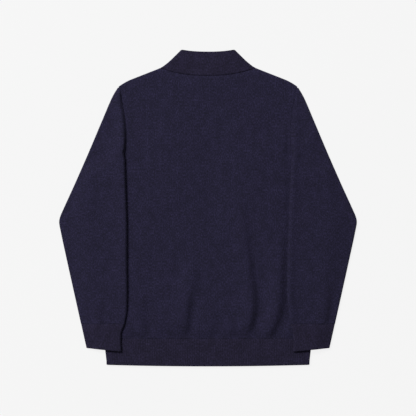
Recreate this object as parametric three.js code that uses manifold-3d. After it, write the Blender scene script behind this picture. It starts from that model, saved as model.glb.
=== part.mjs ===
// A knitted quarter zip sweater laid flat, back side up, sleeves folded over the sides of the body.
// Millimetres. +X is to the right and +Y runs towards the collar as the garment is seen from above, +Z is up.
// The origin is on the surface it lies on, under the middle of its outline.
import * as THREE from "three";
import { mergeVertices } from "three/addons/utils/BufferGeometryUtils.js";
import Module from "manifold-3d";

// Driving sizes
const BODY_LENGTH = 700; // neck point of the shoulder to the hem's edge
const HEM_Y = -371.5;
const NECK_POINT = { half: 112, y: HEM_Y + BODY_LENGTH };
const COLLAR_TIP = { half: 62.5, y: -HEM_Y - 0.3 };
const CHEST_HALF = 270;
const HEM_HALF = 238;
const RIB_TOP = { half: 244, y: -306.7 };
const UNDERARM_Y = 80;

// Cloth walls and how the layers lie
const KNIT_WALL = 2.2;
const RIB_WALL = 2.6;
const COLLAR_WALL = 3.2;
const ZIP_EDGE_WALL = 3.6; // the front is turned under and doubled beside the zip
const LAID_HEIGHT = 7; // front and back panel together, over the surface
const MIDDLE_Z = LAID_HEIGHT / 2; // height of the side seams
const SLEEVE_ROUND = 3.3; // radius of the folded edges of a flat sleeve
const CUFF_ROUND = 3.5;
const SLEEVE_ROLL = 7; // how far in the upper layer rolls over towards the inner fold
const CUFF_ROLL = 5;
const SEAM_GAP = 0.3;
const CREST = 0.9; // how much the back panel rises over the middle of the body
const BLOUSE = 2.4; // how much it puffs above the hem rib
const NECK_LIFT = 2.2; // how much the back of the neck rises over the closed zip

const ALONG_ROUND = [1, 0.5, 0.134, 0]; // distance from a fold's edge, in radii, at 0, 30, 60 and 90 degrees round it

const clamp = (x, low, high) => Math.min(high, Math.max(low, x));
const mix = (a, b, k) => a + (b - a) * k;
const span = (n, from, to) => Array.from({ length: n + 1 }, (_, i) => mix(from, to, i / n));
function ease(x, from, to) {
  const k = clamp((x - from) / (to - from), 0, 1);
  return k * k * (3 - 2 * k);
}

// A smooth curve in plan through rows of {half, y}, measured from the centre line.
function planCurve(rows) {
  return new THREE.CatmullRomCurve3(
    rows.map((row) => new THREE.Vector3(row.half, row.y, 0)),
    false,
    "centripetal",
  );
}

// The value of column "to" where column "from" is x, straight between rows in order of "from".
function lookUp(rows, from, to, x) {
  const i = clamp(rows.findIndex((row) => row[from] >= x), 1, rows.length - 1);
  const [a, b] = [rows[i - 1], rows[i]];
  return mix(a[to], b[to], clamp((x - a[from]) / (b[from] - a[from]), 0, 1));
}

// A wall of cloth from a grid of outer points. The inner points are given as a lining, or lie wall(i, j) behind, square
// to the cloth. keepCell(i, j) leaves cells out.
function clothWall({ grid, lining, wall, facing = 1, closed = false, keepCell = () => true }) {
  const rows = grid.length;
  const columns = grid[0].length;
  const at = (i, j) => grid[clamp(i, 0, rows - 1)][clamp(j, 0, columns - 1)];
  const squareBehind = (i, j) => {
    const along = at(i + 1, j).clone().sub(at(i - 1, j));
    const across = at(i, j + 1).clone().sub(at(i, j - 1));
    return at(i, j).clone().addScaledVector(across.cross(along).normalize(), -wall(i, j) * facing);
  };
  const positions = grid.flat().flatMap((p) => p.toArray());
  const inner = grid.flatMap((row, i) => row.flatMap((_, j) => (lining ? lining[i][j] : squareBehind(i, j)).toArray()));
  const behind = rows * columns;
  const index = [];
  const quad = (a, b, c, d) => (facing > 0 ? index.push(a, b, c, a, c, d) : index.push(a, c, b, a, d, c));
  const cells = closed ? columns : columns - 1;
  const kept = (i, j) => {
    if (i < 0 || i >= rows - 1) return false;
    if (closed) return keepCell(i, (j + cells) % cells);
    return j >= 0 && j < cells && keepCell(i, j);
  };
  for (let i = 0; i < rows - 1; i++)
    for (let j = 0; j < cells; j++) {
      if (!kept(i, j)) continue;
      const k = (j + 1) % columns;
      const [a, b, c, d] = [i * columns + j, i * columns + k, (i + 1) * columns + k, (i + 1) * columns + j];
      quad(a, b, c, d);
      quad(behind + d, behind + c, behind + b, behind + a);
      if (!kept(i - 1, j)) quad(behind + a, behind + b, b, a);
      if (!kept(i + 1, j)) quad(d, c, behind + c, behind + d);
      if (!kept(i, j - 1)) quad(a, d, behind + d, behind + a);
      if (!kept(i, j + 1)) quad(behind + b, behind + c, c, b);
    }
  const geometry = new THREE.BufferGeometry();
  geometry.setAttribute("position", new THREE.Float32BufferAttribute([...positions, ...inner], 3));
  geometry.setIndex(index);
  return geometry;
}

const sweater = new THREE.Group();
function addPiece(name, geometry, material) {
  const mesh = new THREE.Mesh(geometry, material);
  mesh.name = name;
  sweater.add(mesh);
}

const knit = new THREE.MeshStandardMaterial({ color: 0x262435, roughness: 0.95, metalness: 0 });
const rib = new THREE.MeshStandardMaterial({ color: 0x242230, roughness: 0.95, metalness: 0 });
const zipTape = new THREE.MeshStandardMaterial({ color: 0x1c1b28, roughness: 0.85, metalness: 0 });
const zipMetal = new THREE.MeshStandardMaterial({ color: 0x8f8f92, roughness: 0.35, metalness: 1 });

// Outline of the body, as half widths from the hem rib to the underarm
const BODY_SIDE = [
  { half: RIB_TOP.half, y: RIB_TOP.y },
  { half: 252, y: -297 },
  { half: 259, y: -280 },
  { half: 265, y: -245 },
  { half: 269, y: -160 },
  { half: CHEST_HALF, y: -60 },
  { half: CHEST_HALF, y: UNDERARM_Y },
];
const RIB_SIDE = [
  { half: HEM_HALF, y: HEM_Y + 3.5 },
  { half: RIB_TOP.half, y: RIB_TOP.y },
];
const bodySide = (y) => lookUp(y < RIB_TOP.y ? RIB_SIDE : BODY_SIDE, "y", "half", y);
// The armhole seam, from the underarm to the shoulder's tip, the same on the front and the back
const SHOULDER_TIP = { half: 209.6, y: 285 };
const ARMHOLE = planCurve([
  { half: CHEST_HALF, y: UNDERARM_Y },
  { half: 243, y: 88 },
  { half: 217, y: 104 },
  { half: 200, y: 127 },
  { half: 194.5, y: 158 },
  { half: 196, y: 204 },
  { half: 203, y: 246 },
  SHOULDER_TIP,
]);
const FOLD_START = 0.36; // where along the armhole seam the sleeve starts to fold over the body

// Shoulder slope of the outline, then the neckline of one panel
const SHOULDER_SLOPE = 0.392;
const SHOULDER_ROUND = { start: 179, drop: 5.2 };
function topEdgeY(half, neckDrop, neckPower) {
  if (half < NECK_POINT.half) return NECK_POINT.y - neckDrop * (1 - (half / NECK_POINT.half) ** neckPower);
  const round = Math.max(0, (half - SHOULDER_ROUND.start) / (SHOULDER_TIP.half - SHOULDER_ROUND.start));
  return NECK_POINT.y - SHOULDER_SLOPE * (half - NECK_POINT.half) - SHOULDER_ROUND.drop * round ** 2;
}
const BACK_NECK = { drop: 18.5, power: 2.4 };
const FRONT_NECK = { drop: 56, power: 2.2 };
const FRONT_NECK_COLUMNS = 8;
const BACK_NECK_COLUMNS = 20;
const backTopY = (half) => topEdgeY(half, BACK_NECK.drop, BACK_NECK.power);
const frontTopY = (half) => topEdgeY(half, FRONT_NECK.drop, FRONT_NECK.power);

// The largest creases of the back panel: soft troughs that run down to the hem rib.
// Each starts at (x0, y0), ends at (x1, y1) and bows sideways by "bow" in between.
const CREASES = [
  { x0: 84, y0: 30, x1: 98, y1: -304, bow: 24, width: 11, depth: 3 },
  { x0: 184, y0: -110, x1: 146, y1: -304, bow: 6, width: 11, depth: 3.2 },
  { x0: -26, y0: -130, x1: -58, y1: -304, bow: 3, width: 11, depth: 2.8 },
  { x0: -154, y0: -225, x1: -146, y1: -304, bow: -3, width: 11, depth: 1.6 },
];
function creaseDepth(x, y) {
  return CREASES.reduce((sum, c) => {
    const k = (y - c.y0) / (c.y1 - c.y0);
    if (k <= 0 || k >= 1) return sum;
    const centre = mix(c.x0, c.x1, k) + c.bow * Math.sin(Math.PI * k);
    const strength = ease(k, 0, 0.7) * (1 - ease(k, 0.88, 1));
    return sum + c.depth * strength * Math.exp(-(((x - centre) / c.width) ** 2));
  }, 0);
}

// Height of the back panel's outer face away from its edges and creases
function backHeight(x, y) {
  const crest = CREST * (1 - ease(Math.abs(x), 60, 200));
  const blouse = BLOUSE * ease(y, -304, -285) * (1 - ease(y, -260, -120)) * (1 - ease(Math.abs(x), 170, 215));
  const neck = NECK_LIFT * (1 - ease(Math.abs(x), 15, 75)) * ease(y, 235, 300);
  return LAID_HEIGHT + crest + blouse + neck;
}

// 0 at a folded edge to 1 one radius inside it, along a quarter of an ellipse
const roundProfile = (inside, radius) => Math.sqrt(1 - (1 - clamp(inside / radius, 0, 1)) ** 2);

// Side edge of the body from the rib to the shoulder's tip. "wrap" is 1 where the cloth rounds down to a seam between
// the two panels and 0 where it stays flat to meet a sleeve.
const ARMHOLE_ROWS = 8;
const EDGE_RADIUS = MIDDLE_Z;
const SHOULDER_RADIUS = EDGE_RADIUS * Math.hypot(1, SHOULDER_SLOPE);
function sideRows(lowerRows) {
  const start = RIB_TOP.y + SEAM_GAP;
  const rows = lowerRows.map((k) => {
    const y = mix(start, UNDERARM_Y, k);
    return { half: bodySide(y), y, wrap: k < 1 ? 1 : 0 };
  });
  const steepEnd = ARMHOLE.getLength() - SHOULDER_RADIUS;
  for (let i = 1; i <= ARMHOLE_ROWS; i++) {
    const p = ARMHOLE.getPointAt(((i / ARMHOLE_ROWS) * steepEnd) / ARMHOLE.getLength());
    rows.push({ half: p.x, y: p.y, wrap: 0 });
  }
  for (const inside of ALONG_ROUND.slice(1)) {
    const p = ARMHOLE.getPointAt(1 - (inside * SHOULDER_RADIUS) / ARMHOLE.getLength());
    rows.push({ half: p.x, y: p.y, wrap: 0 });
  }
  return rows;
}
// Columns across a panel as {share, inside}: a share of the half width, less a distance in from the edge
function panelColumns(neckColumns, shoulderColumns) {
  const neckShare = NECK_POINT.half / SHOULDER_TIP.half;
  const shares = [
    ...span(shoulderColumns, 1, neckShare).map((share) => -share).slice(0, -1),
    ...span(neckColumns, -neckShare, neckShare),
    ...span(shoulderColumns, neckShare, 1).slice(1),
  ];
  const columns = shares.map((share) => ({ share, edge: ALONG_ROUND[0] }));
  const rounds = ALONG_ROUND.slice(1).map((edge) => ({ share: 1, edge }));
  return [...rounds.map(({ edge }) => ({ share: -1, edge })).reverse(), ...columns, ...rounds];
}

const RIB_SEAM_Y = RIB_TOP.y + SEAM_GAP;
const SLANT = Math.hypot(1, SHOULDER_SLOPE);

// The outer and the inner point of a body panel. face(p, row) gives their two heights on the flat of the panel, and
// both come to seamZ at the folded sides and shoulders.
function panelPair(row, column, topY, seamZ, face) {
  const limit = row.half - EDGE_RADIUS * column.edge;
  const x = Math.sign(column.share) * Math.min(Math.abs(column.share) * row.half, limit);
  const topHalf = (Math.abs(x) / row.half) * SHOULDER_TIP.half;
  const rise = clamp((row.y - UNDERARM_Y) / (SHOULDER_TIP.y - UNDERARM_Y), 0, 1);
  const y = row.y + (topY(topHalf) - SHOULDER_TIP.y) * rise;
  const shoulder = ease(topHalf, NECK_POINT.half - 6, NECK_POINT.half + 8);
  const p = { x, y, side: row.half - Math.abs(x), top: (topY(topHalf) - y) / SLANT, shoulder };
  const heights = face(p, row);
  const depth = Math.abs(heights.outer - heights.inner);
  const insetX = Math.sign(x) * depth * row.wrap * Math.max(0, 1 - p.side / EDGE_RADIUS);
  const insetY = depth * shoulder * SLANT * Math.max(0, 1 - p.top / EDGE_RADIUS);
  const side = mix(1, roundProfile(p.side, EDGE_RADIUS), row.wrap);
  const rounding = Math.min(side, mix(1, roundProfile(p.top, EDGE_RADIUS), shoulder));
  return {
    outer: new THREE.Vector3(x, y, mix(seamZ, heights.outer, rounding)),
    inner: new THREE.Vector3(x - insetX, y - insetY, mix(seamZ, heights.inner, rounding)),
  };
}
const split = (pairs) => ({ grid: pairs.map((row) => row.map((p) => p.outer)), lining: pairs.map((row) => row.map((p) => p.inner)) });

const SEAM_DIP = { depth: 0.9, reach: 7 };
const seamDip = (distance) => SEAM_DIP.depth * (1 - ease(Math.abs(distance), 0, SEAM_DIP.reach));

// Back panel
{
  const rows = sideRows([0, 0.02, 0.05, 0.1, 0.16, 0.23, 0.31, 0.4, 0.52, 0.66, 0.82, 0.97, 1]);
  const face = (p, row) => {
    const seams = [p.y - RIB_TOP.y, row.wrap ? 99 : p.side, p.shoulder < 1 ? p.top : 99];
    const outer = backHeight(p.x, p.y) - creaseDepth(p.x, p.y) - Math.max(...seams.map(seamDip));
    return { outer, inner: outer - KNIT_WALL };
  };
  const pair = (row, column) => panelPair(row, column, backTopY, MIDDLE_Z + SEAM_GAP / 2, face);
  const columns = panelColumns(BACK_NECK_COLUMNS, 8);
  addPiece("body_back", clothWall(split(rows.map((row) => columns.map((column) => pair(row, column))))), knit);
}

// Zip opening in the front, and the zip's own sizes
const ZIP = {
  slot: 4, // half width of the opening between the two front edges
  bottomY: 104,
  chainHalf: 2.1,
};

// Front panel, with the zip opening at its centre
{
  const rows = sideRows([0, 0.08, 0.25, 0.5, 0.8, 0.97, 1]);
  const columns = panelColumns(FRONT_NECK_COLUMNS, 3);
  const middle = (columns.length - 1) / 2;
  const face = (p, row) => {
    const doubled = row.y > UNDERARM_Y ? 1 - ease(Math.abs(p.x), 8, 30) : 0;
    return { outer: 0, inner: mix(KNIT_WALL, ZIP_EDGE_WALL, doubled) };
  };
  const pairs = rows.map((row) => {
    const slot = [-1, 1].map((side) => ({ share: (side * ZIP.slot) / row.half, edge: 1 }));
    const line = [...columns.slice(0, middle), ...slot, ...columns.slice(middle + 1)];
    return line.map((column) => panelPair(row, column, frontTopY, MIDDLE_Z - SEAM_GAP / 2, face));
  });
  const openRow = rows.findIndex((row) => row.y > UNDERARM_Y);
  const keepCell = (i, j) => j !== middle || i < openRow;
  addPiece("body_front", clothWall({ ...split(pairs), facing: -1, keepCell }), knit);
}

// Hem ribs, each below its own panel
function hemRib(columnCount, seamZ, outerZ, innerZ) {
  const rows = span(3, 0, 1).map((k) => ({ half: mix(RIB_TOP.half, HEM_HALF, k), k }));
  const pairs = rows.map((row) =>
    panelColumns(columnCount, 4).map((column) => {
      const limit = row.half - EDGE_RADIUS * column.edge;
      const x = Math.sign(column.share) * Math.min(Math.abs(column.share) * row.half, limit);
      const y = mix(RIB_TOP.y - SEAM_GAP, HEM_Y + 3.5 * (x / HEM_HALF) ** 2, row.k);
      const inside = row.half - Math.abs(x);
      const inset = Math.sign(x) * RIB_WALL * Math.max(0, 1 - inside / EDGE_RADIUS);
      const rounding = roundProfile(inside, EDGE_RADIUS);
      return {
        outer: new THREE.Vector3(x, y, mix(seamZ, outerZ(x, y), rounding)),
        inner: new THREE.Vector3(x - inset, y, mix(seamZ, innerZ(x, y), rounding)),
      };
    }),
  );
  return split(pairs);
}
const ribHeight = (x, y) => LAID_HEIGHT + 0.4 * (1 - ease(Math.abs(x), 60, 200)) - seamDip(y - RIB_TOP.y);
const backRib = hemRib(10, MIDDLE_Z + SEAM_GAP / 2, ribHeight, (x, y) => ribHeight(x, y) - RIB_WALL);
const frontRib = hemRib(4, MIDDLE_Z - SEAM_GAP / 2, () => 0, () => RIB_WALL);
addPiece("hem_rib_back", clothWall({ ...backRib, facing: -1 }), rib);
addPiece("hem_rib_front", clothWall(frontRib), rib);

// Sleeves. Each is a flattened tube whose outer fold lies on the surface. Its lower layer climbs over the side of the
// body, and below FOLD_START its inner fold lies on the back panel.
const OUTER_FOLD = planCurve([
  { half: 210.1, y: 285.1 },
  { half: 223.9, y: 262 },
  { half: 248.4, y: 205.6 },
  { half: 280.2, y: 130.4 },
  { half: 313.2, y: 55.2 },
  { half: 338.9, y: -1.2 },
  { half: 347, y: -20 },
  { half: 349.5, y: -32 },
  { half: 345.3, y: -57.6 },
  { half: 333.2, y: -114 },
  { half: 316.6, y: -189.2 },
  { half: 299.8, y: -264.4 },
  { half: 297.9, y: -272.9 },
]);
// The inner fold lies a little differently on either side
const INNER_FOLD = {
  right: planCurve([
    { half: 199.9, y: 129 },
    { half: 196.2, y: 113 },
    { half: 194.6, y: 92 },
    { half: 193, y: 62 },
    { half: 190.6, y: 10 },
    { half: 188.2, y: -60 },
    { half: 185.8, y: -155 },
    { half: 187, y: -225 },
    { half: 193, y: -272.6 },
  ]),
  left: planCurve([
    { half: 199.9, y: 129 },
    { half: 195.8, y: 114 },
    { half: 194.2, y: 96 },
    { half: 192.9, y: 62 },
    { half: 191.2, y: 15 },
    { half: 189.7, y: -35 },
    { half: 189.5, y: -125 },
    { half: 189.6, y: -236 },
    { half: 195.5, y: -272.6 },
  ]),
};
const RAMP = 20; // how far outside the body's side the lower layer comes down
const UPPER_RAMP = 24;
const SIDE_CLEAR = 1.5;
const BESIDE = { upper: 0.45, floor: 1, over: -1 }; // how far outside the armhole seam each layer starts

const flatDistance = (a, b) => Math.hypot(a.x - b.x, a.y - b.y);
const armholePath = sideRows([1]).map((row) => new THREE.Vector3(row.half, row.y, 0));
function pointOnPath(path, share) {
  let left = share * path.slice(1).reduce((sum, p, i) => sum + flatDistance(p, path[i]), 0);
  for (let i = 1; i < path.length; i++) {
    const step = flatDistance(path[i], path[i - 1]);
    if (left <= step + 1e-6) return path[i - 1].clone().lerp(path[i], Math.min(1, left / step));
    left -= step;
  }
  return path[path.length - 1].clone();
}
function besideArmhole(share, outward) {
  const p = pointOnPath(armholePath, share);
  const direction = ARMHOLE.getTangentAt(share);
  return new THREE.Vector3(p.x + direction.y * outward, p.y - direction.x * outward, 0);
}

// Distance outside the part of the body that a sleeve lies on
const COVERED_EDGE = [
  new THREE.Vector3(HEM_HALF, HEM_Y, 0),
  ...BODY_SIDE.map((row) => new THREE.Vector3(row.half, row.y, 0)),
  ...span(8, 0, FOLD_START).map((share) => ARMHOLE.getPointAt(share)),
];
const coveredRows = COVERED_EDGE.map((p) => ({ half: p.x, y: p.y }));
function outsideBody(p) {
  if (p.y < COVERED_EDGE.at(-1).y && p.x < lookUp(coveredRows, "y", "half", p.y)) return 0;
  const line = new THREE.Line3();
  const nearest = new THREE.Vector3();
  const flat = new THREE.Vector3(p.x, p.y, 0);
  return COVERED_EDGE.slice(1).reduce((least, end, i) => {
    line.set(COVERED_EDGE[i], end).closestPointToPoint(flat, true, nearest);
    return Math.min(least, nearest.distanceTo(flat));
  }, Infinity);
}

const CROWN = { height: 3.4, from: 8, width: 7 }; // how the upper layer stands up beside the armhole seam
const EDGE_STEPS = [0, 0.293, 1]; // distance from a fold's edge, in radii
const bodyBase = (p) => backHeight(p.x, p.y) + SEAM_GAP;

const UPPER_COLUMNS = 6;

// One straight section across a flattened tube, as outer and inner points, from the body side of its floor layer, out
// round its outer fold, back over its upper layer, round its inner fold and out again over the body. "over" and
// "floor" are where the lower layer ends over the body and starts on the surface. An attached section ends at the
// armhole seam instead of folding, and a joined one climbs the body's side from "floor" to "over".
function section({ inner, over, floor, outer, attached, joined }, radius, wall, roll, drop) {
  const points = { outer: [], inner: [] };
  const width = flatDistance(inner, outer);
  const outerRound = Math.min(radius, 0.4 * width);
  const seamZ = LAID_HEIGHT - SEAM_DIP.depth;
  const foldZ = attached ? seamZ : bodyBase(inner) + radius;
  function layer(from, to, distances, level, inward, edges) {
    const length = flatDistance(from, to);
    for (const distance of distances(length)) {
      for (const [face, depth] of [["outer", 0], ["inner", wall]]) {
        let shifted = distance;
        let z = level(from.clone().lerp(to, distance / length), distance) + inward * depth;
        for (const { near, edge, at, flat } of edges(distance, length)) {
          const inset = depth * Math.min(1, edge / radius) * Math.max(0, 1 - near / edge);
          if (!flat) shifted += distance < length / 2 ? inset : -inset;
          z = mix(at + (flat ? inward * depth : 0), z, roundProfile(near, edge));
        }
        const p = from.clone().lerp(to, clamp(shifted / length, 0, 1));
        p.z = z;
        points[face].push(p);
      }
    }
  }
  const round = EDGE_STEPS.map((e) => e * outerRound);
  const fold = EDGE_STEPS.map((e) => e * Math.min(radius, 0.45 * width));
  const wide = EDGE_STEPS.map((e) => e * Math.min(roll, 0.22 * width)); // the upper layer rolls over softly
  const outerEdge = (near) => ({ near, edge: outerRound, at: radius });
  const innerEdge = (near, edge) => ({ near, edge, at: foldZ, flat: attached });

  const climb = (p, distance) => (joined ? (LAID_HEIGHT + SEAM_GAP) * (1 - ease(distance + RAMP / 4, -1, RAMP)) : 0);
  const rampEnd = (length) => Math.min(0.75 * RAMP, 0.6 * (length - round[2]));
  const floorSteps = (length) => [
    ...span(3, 0, rampEnd(length)),
    ...span(2, rampEnd(length), length - round[2]).slice(1),
    length - round[1],
    length,
  ];
  layer(floor, outer, floorSteps, climb, 1, (d, length) => [outerEdge(length - d)]);

  const high = (p, distance) => {
    const clearOfBody = ease(outsideBody(p), 2, UPPER_RAMP);
    const crown = attached ? CROWN.height * Math.exp(-(((width - distance - CROWN.from) / CROWN.width) ** 2)) : 0;
    return bodyBase(p) * (1 - clearOfBody) + crown * clearOfBody * ease(width, 12, 50) + 2 * radius - drop(p);
  };
  const upperSteps = (length) => [
    round[1],
    ...span(UPPER_COLUMNS, round[2], length - 2.2 * wide[2]),
    length - 1.5 * wide[2],
    length - wide[2],
    length - wide[1],
    length,
  ];
  layer(outer, inner, upperSteps, high, -1, (d, length) => [outerEdge(d), innerEdge(length - d, wide[2])]);

  const underSteps = (length) => [fold[1], ...span(3, fold[2], Math.max(length, fold[2] + 1.2))];
  const end = over.distanceTo(inner) > fold[2] + 1.2 ? over : inner.clone().lerp(outer, (fold[2] + 1.2) / width);
  if (!attached) layer(inner, end, underSteps, bodyBase, 1, (d) => [innerEdge(d, fold[2])]);
  else for (let i = 0; i < 5; i++) ["outer", "inner"].forEach((face) => points[face].push(points[face].at(-1).clone()));
  return points;
}

const onLine = (a, b, x) => a.clone().lerp(b, (x - a.x) / (b.x - a.x));

// Where a straight line from a to b crosses the armhole seam below FOLD_START, offset outwards
function crossing(a, b, outward) {
  const side = (p) => (b.x - a.x) * (p.y - a.y) - (b.y - a.y) * (p.x - a.x);
  const seam = span(60, FOLD_START, 0).map((share) => besideArmhole(share, outward));
  const i = seam.findIndex((p) => side(p) < 0);
  if (i < 1) return null;
  return seam[i - 1].clone().lerp(seam[i], side(seam[i - 1]) / (side(seam[i - 1]) - side(seam[i])));
}
const SEAM_LENGTH = (1 - FOLD_START) * ARMHOLE.getLength();
function sleeveStation(t, innerFold) {
  const outer = OUTER_FOLD.getPointAt(t);
  const along = t * (SEAM_LENGTH + innerFold.getLength());
  if (along < SEAM_LENGTH - 1e-6) {
    const share = 1 - along / ARMHOLE.getLength();
    const inner = besideArmhole(share, BESIDE.upper);
    return { inner, over: inner, floor: besideArmhole(share, BESIDE.floor), outer, attached: true, joined: false };
  }
  const inner = innerFold.getPointAt(clamp((along - SEAM_LENGTH) / innerFold.getLength(), 0, 1));
  const level = onLine(inner, outer, CHEST_HALF + SIDE_CLEAR).y;
  const joined = level < UNDERARM_Y + 1;
  const over = joined ? onLine(inner, outer, bodySide(level) + SIDE_CLEAR) : crossing(inner, outer, BESIDE.over);
  const floor = joined ? onLine(inner, outer, over.x + RAMP / 4) : crossing(inner, outer, BESIDE.floor);
  return { inner, over: over ?? inner, floor: floor ?? besideArmhole(FOLD_START, BESIDE.floor), outer, attached: false, joined };
}
const CUFF_SEAM_Y = -272.6;
const cuffDrop = (p) => seamDip(p.y - CUFF_SEAM_Y);
const BEFORE_FOLD = [0.02, 0.1, 0.25, 0.43, 0.6, 0.76, 0.89]; // shares of the way down to where the fold starts
const BEFORE_UNDERARM = [0, 0.3, 0.6, 0.83, 0.97];
const AFTER_UNDERARM = [0.003, 0.05, 0.11, 0.18, 0.25, 0.31, 0.37, 0.45, 0.56, 0.68, 0.8, 0.92, 1];
function sleeve(innerFold) {
  const foldStart = SEAM_LENGTH / (SEAM_LENGTH + innerFold.getLength());
  const joined = (t) => sleeveStation(t, innerFold).joined;
  const underarm = span(400, foldStart, 0.5).find(joined);
  const stations = [
    ...BEFORE_FOLD.map((k) => k * foldStart),
    ...BEFORE_UNDERARM.map((k) => mix(foldStart, underarm, k)),
    ...AFTER_UNDERARM.map((k) => mix(underarm, 1, k)),
  ].map((t) => sleeveStation(t, innerFold));
  const rings = stations.map((station) => section(station, SLEEVE_ROUND, KNIT_WALL, SLEEVE_ROLL, cuffDrop));
  const foldRow = BEFORE_FOLD.length;
  const joinRow = foldRow + BEFORE_UNDERARM.length;
  const last = rings[0].outer.length - 1;
  return { rings, keepCell: (i, j) => (j === last ? i >= joinRow : j < last - 5 || i >= foldRow) };
}

// Cuffs: ribbed tubes that lie across the hem rib
const CUFF_OUTER = [
  { half: 297.6, y: -273.3 },
  { half: 291.6, y: -300 },
  { half: 285.2, y: -328.5 },
];
const CUFF_INNER = {
  right: [
    { half: 193.2, y: -273 },
    { half: 199.4, y: -294 },
    { half: 199, y: -336 },
  ],
  left: [
    { half: 195.7, y: -273 },
    { half: 203.4, y: -294 },
    { half: 203, y: -336 },
  ],
};
const cuffRing = (innerRows) => (t) => {
  const [inner, outer] = [innerRows, CUFF_OUTER].map((rows) => planCurve(rows).getPointAt(t));
  const over = onLine(inner, outer, bodySide(mix(inner.y, outer.y, 0.5)) + SIDE_CLEAR);
  const floor = onLine(inner, outer, over.x + RAMP / 4);
  return section({ inner, over, floor, outer, attached: false, joined: true }, CUFF_ROUND, RIB_WALL, CUFF_ROLL, cuffDrop);
};

function tube(rings, facing, keepCell) {
  const [grid, lining] = ["outer", "inner"].map((face) =>
    rings.map((ring) => ring[face].map((p) => new THREE.Vector3(p.x * facing, p.y, p.z))),
  );
  return clothWall({ grid, lining, facing, closed: true, keepCell });
}
for (const [side, facing] of [["right", 1], ["left", -1]]) {
  const { rings, keepCell } = sleeve(INNER_FOLD[side]);
  addPiece(`sleeve_${side}`, tube(rings, facing, keepCell), knit);
  addPiece(`cuff_${side}`, tube(span(4, 0, 1).map(cuffRing(CUFF_INNER[side])), facing), rib);
}

// Stand collar: one band from one zip edge round the back of the neck to the other
const COLLAR_SIDE = planCurve([
  { half: NECK_POINT.half, y: NECK_POINT.y + 0.1 },
  { half: 105.8, y: 332 },
  { half: 90.2, y: 344.3 },
  { half: 77.6, y: 356.3 },
  COLLAR_TIP,
]);
const COLLAR = { topHeight: 10.2, backSag: 5, frontSag: 34, lift: 3 };
// How far a neckline has dropped at a share of its half width, 0 at the neck point to 1 at the centre, straight between
// the same points as the panel's edge
const neckShape = ({ power }, columns) => {
  const rows = span(columns / 2, 0, 1).map((share) => ({ share, sag: 1 - share ** power }));
  return (share) => lookUp(rows, "share", "sag", Math.abs(share));
};
const COLLAR_SHAPE = { back: neckShape(BACK_NECK, BACK_NECK_COLUMNS), front: neckShape(FRONT_NECK, FRONT_NECK_COLUMNS) };
{
  const heights = [0, 0.08, 0.2, 0.42, 0.64, 0.84, 1];
  const pairs = heights.map((v) => {
    const fold = COLLAR_SIDE.getPointAt(v);
    const round = mix(LAID_HEIGHT, COLLAR.topHeight, ease(v, 0, 0.7)) / 2;
    const seam = SEAM_DIP.depth * (1 - ease(v, 0, 0.12));
    const roundX = round * mix(1.45, 1.2, v); // the side fold runs at a slant
    const ring = [];
    const layerZ = (k, back, depth, lift) => mix(round, back ? 2 * round - lift - depth : depth, k);
    const add = (share, edge, back) => {
      const bottom = back ? BACK_NECK : FRONT_NECK;
      const shape = back ? COLLAR_SHAPE.back : COLLAR_SHAPE.front;
      const sag = mix(bottom.drop, back ? COLLAR.backSag : COLLAR.frontSag, v);
      const lay = (x) => fold.y + SEAM_GAP - sag * shape(x / fold.x);
      const overZip = COLLAR.lift * Math.max(0, 1 - v / 0.7) * (1 - ease(Math.abs(share * fold.x), 12, 62));
      const x = Math.sign(share) * clamp(Math.abs(share) * fold.x, back ? 0 : ZIP.slot, fold.x - roundX * edge);
      const inset = Math.sign(x) * (1 - edge);
      const band = mix(KNIT_WALL, COLLAR_WALL, ease(v, 0, 0.25)); // thinner where it is sewn to the neckline
      const wall = mix(band, ZIP_EDGE_WALL, back ? 0 : 1 - ease(Math.abs(x), 8, 30));
      const innerX = x - inset * wall * 1.2;
      const lift = seam - overZip;
      const k = roundProfile(edge, 1);
      ring.push({
        outer: new THREE.Vector3(x, lay(x), layerZ(k, back, 0, lift)),
        inner: new THREE.Vector3(innerX, lay(innerX), layerZ(k, back, wall, lift)),
      });
    };
    const [, half, steep] = ALONG_ROUND;
    for (const share of [-0.001, -0.08, -0.24, -0.45, -0.7]) add(share, 1, false);
    for (const edge of [1, half, steep]) add(-1, edge, false);
    for (const edge of [0, steep, half, 1]) add(-1, edge, true);
    for (const share of [-0.75, -0.5, -0.25, 0, 0.25, 0.5, 0.75]) add(share, 1, true);
    for (const edge of [1, half, steep, 0]) add(1, edge, true);
    for (const edge of [steep, half, 1]) add(1, edge, false);
    for (const share of [0.7, 0.45, 0.24, 0.08, 0.001]) add(share, 1, false);
    return ring;
  });
  addPiece("collar", clothWall(split(pairs)), rib);
}

// Zip: two tapes sewn behind the front's edges, the closed chain of teeth between them, a stop at each end, the slider
// at the top of the chain and its pull tab. The outside of the zip faces down, towards the surface.
const ZIP_Z = { tape: [3.9, 4.7], chain: [3.45, 5.15], slider: [2.4, 6.2], crown: [0.2, 0.85], tab: [1.15, 2.1] };
const TAPE = { inner: 2.4, outer: 14, low: ZIP.bottomY, high: 335 };
const SLIDER = { halfTop: 3.6, halfLow: 2.6, low: 323.5, high: 333.5, notch: 3.95 };
const CHAIN_TOP = SLIDER.low - SEAM_GAP;
function plate(outline, [low, high], holes = []) {
  const shape = new THREE.Shape(outline.map(([x, y]) => new THREE.Vector2(x, y)));
  shape.holes = holes.map((hole) => new THREE.Path(hole.map(([x, y]) => new THREE.Vector2(x, y))));
  return new THREE.ExtrudeGeometry(shape, { depth: high - low, bevelEnabled: false }).translate(0, 0, low);
}
const block = ([x0, x1], [y0, y1], z) => plate([[x0, y0], [x1, y0], [x1, y1], [x0, y1]], z);

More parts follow.
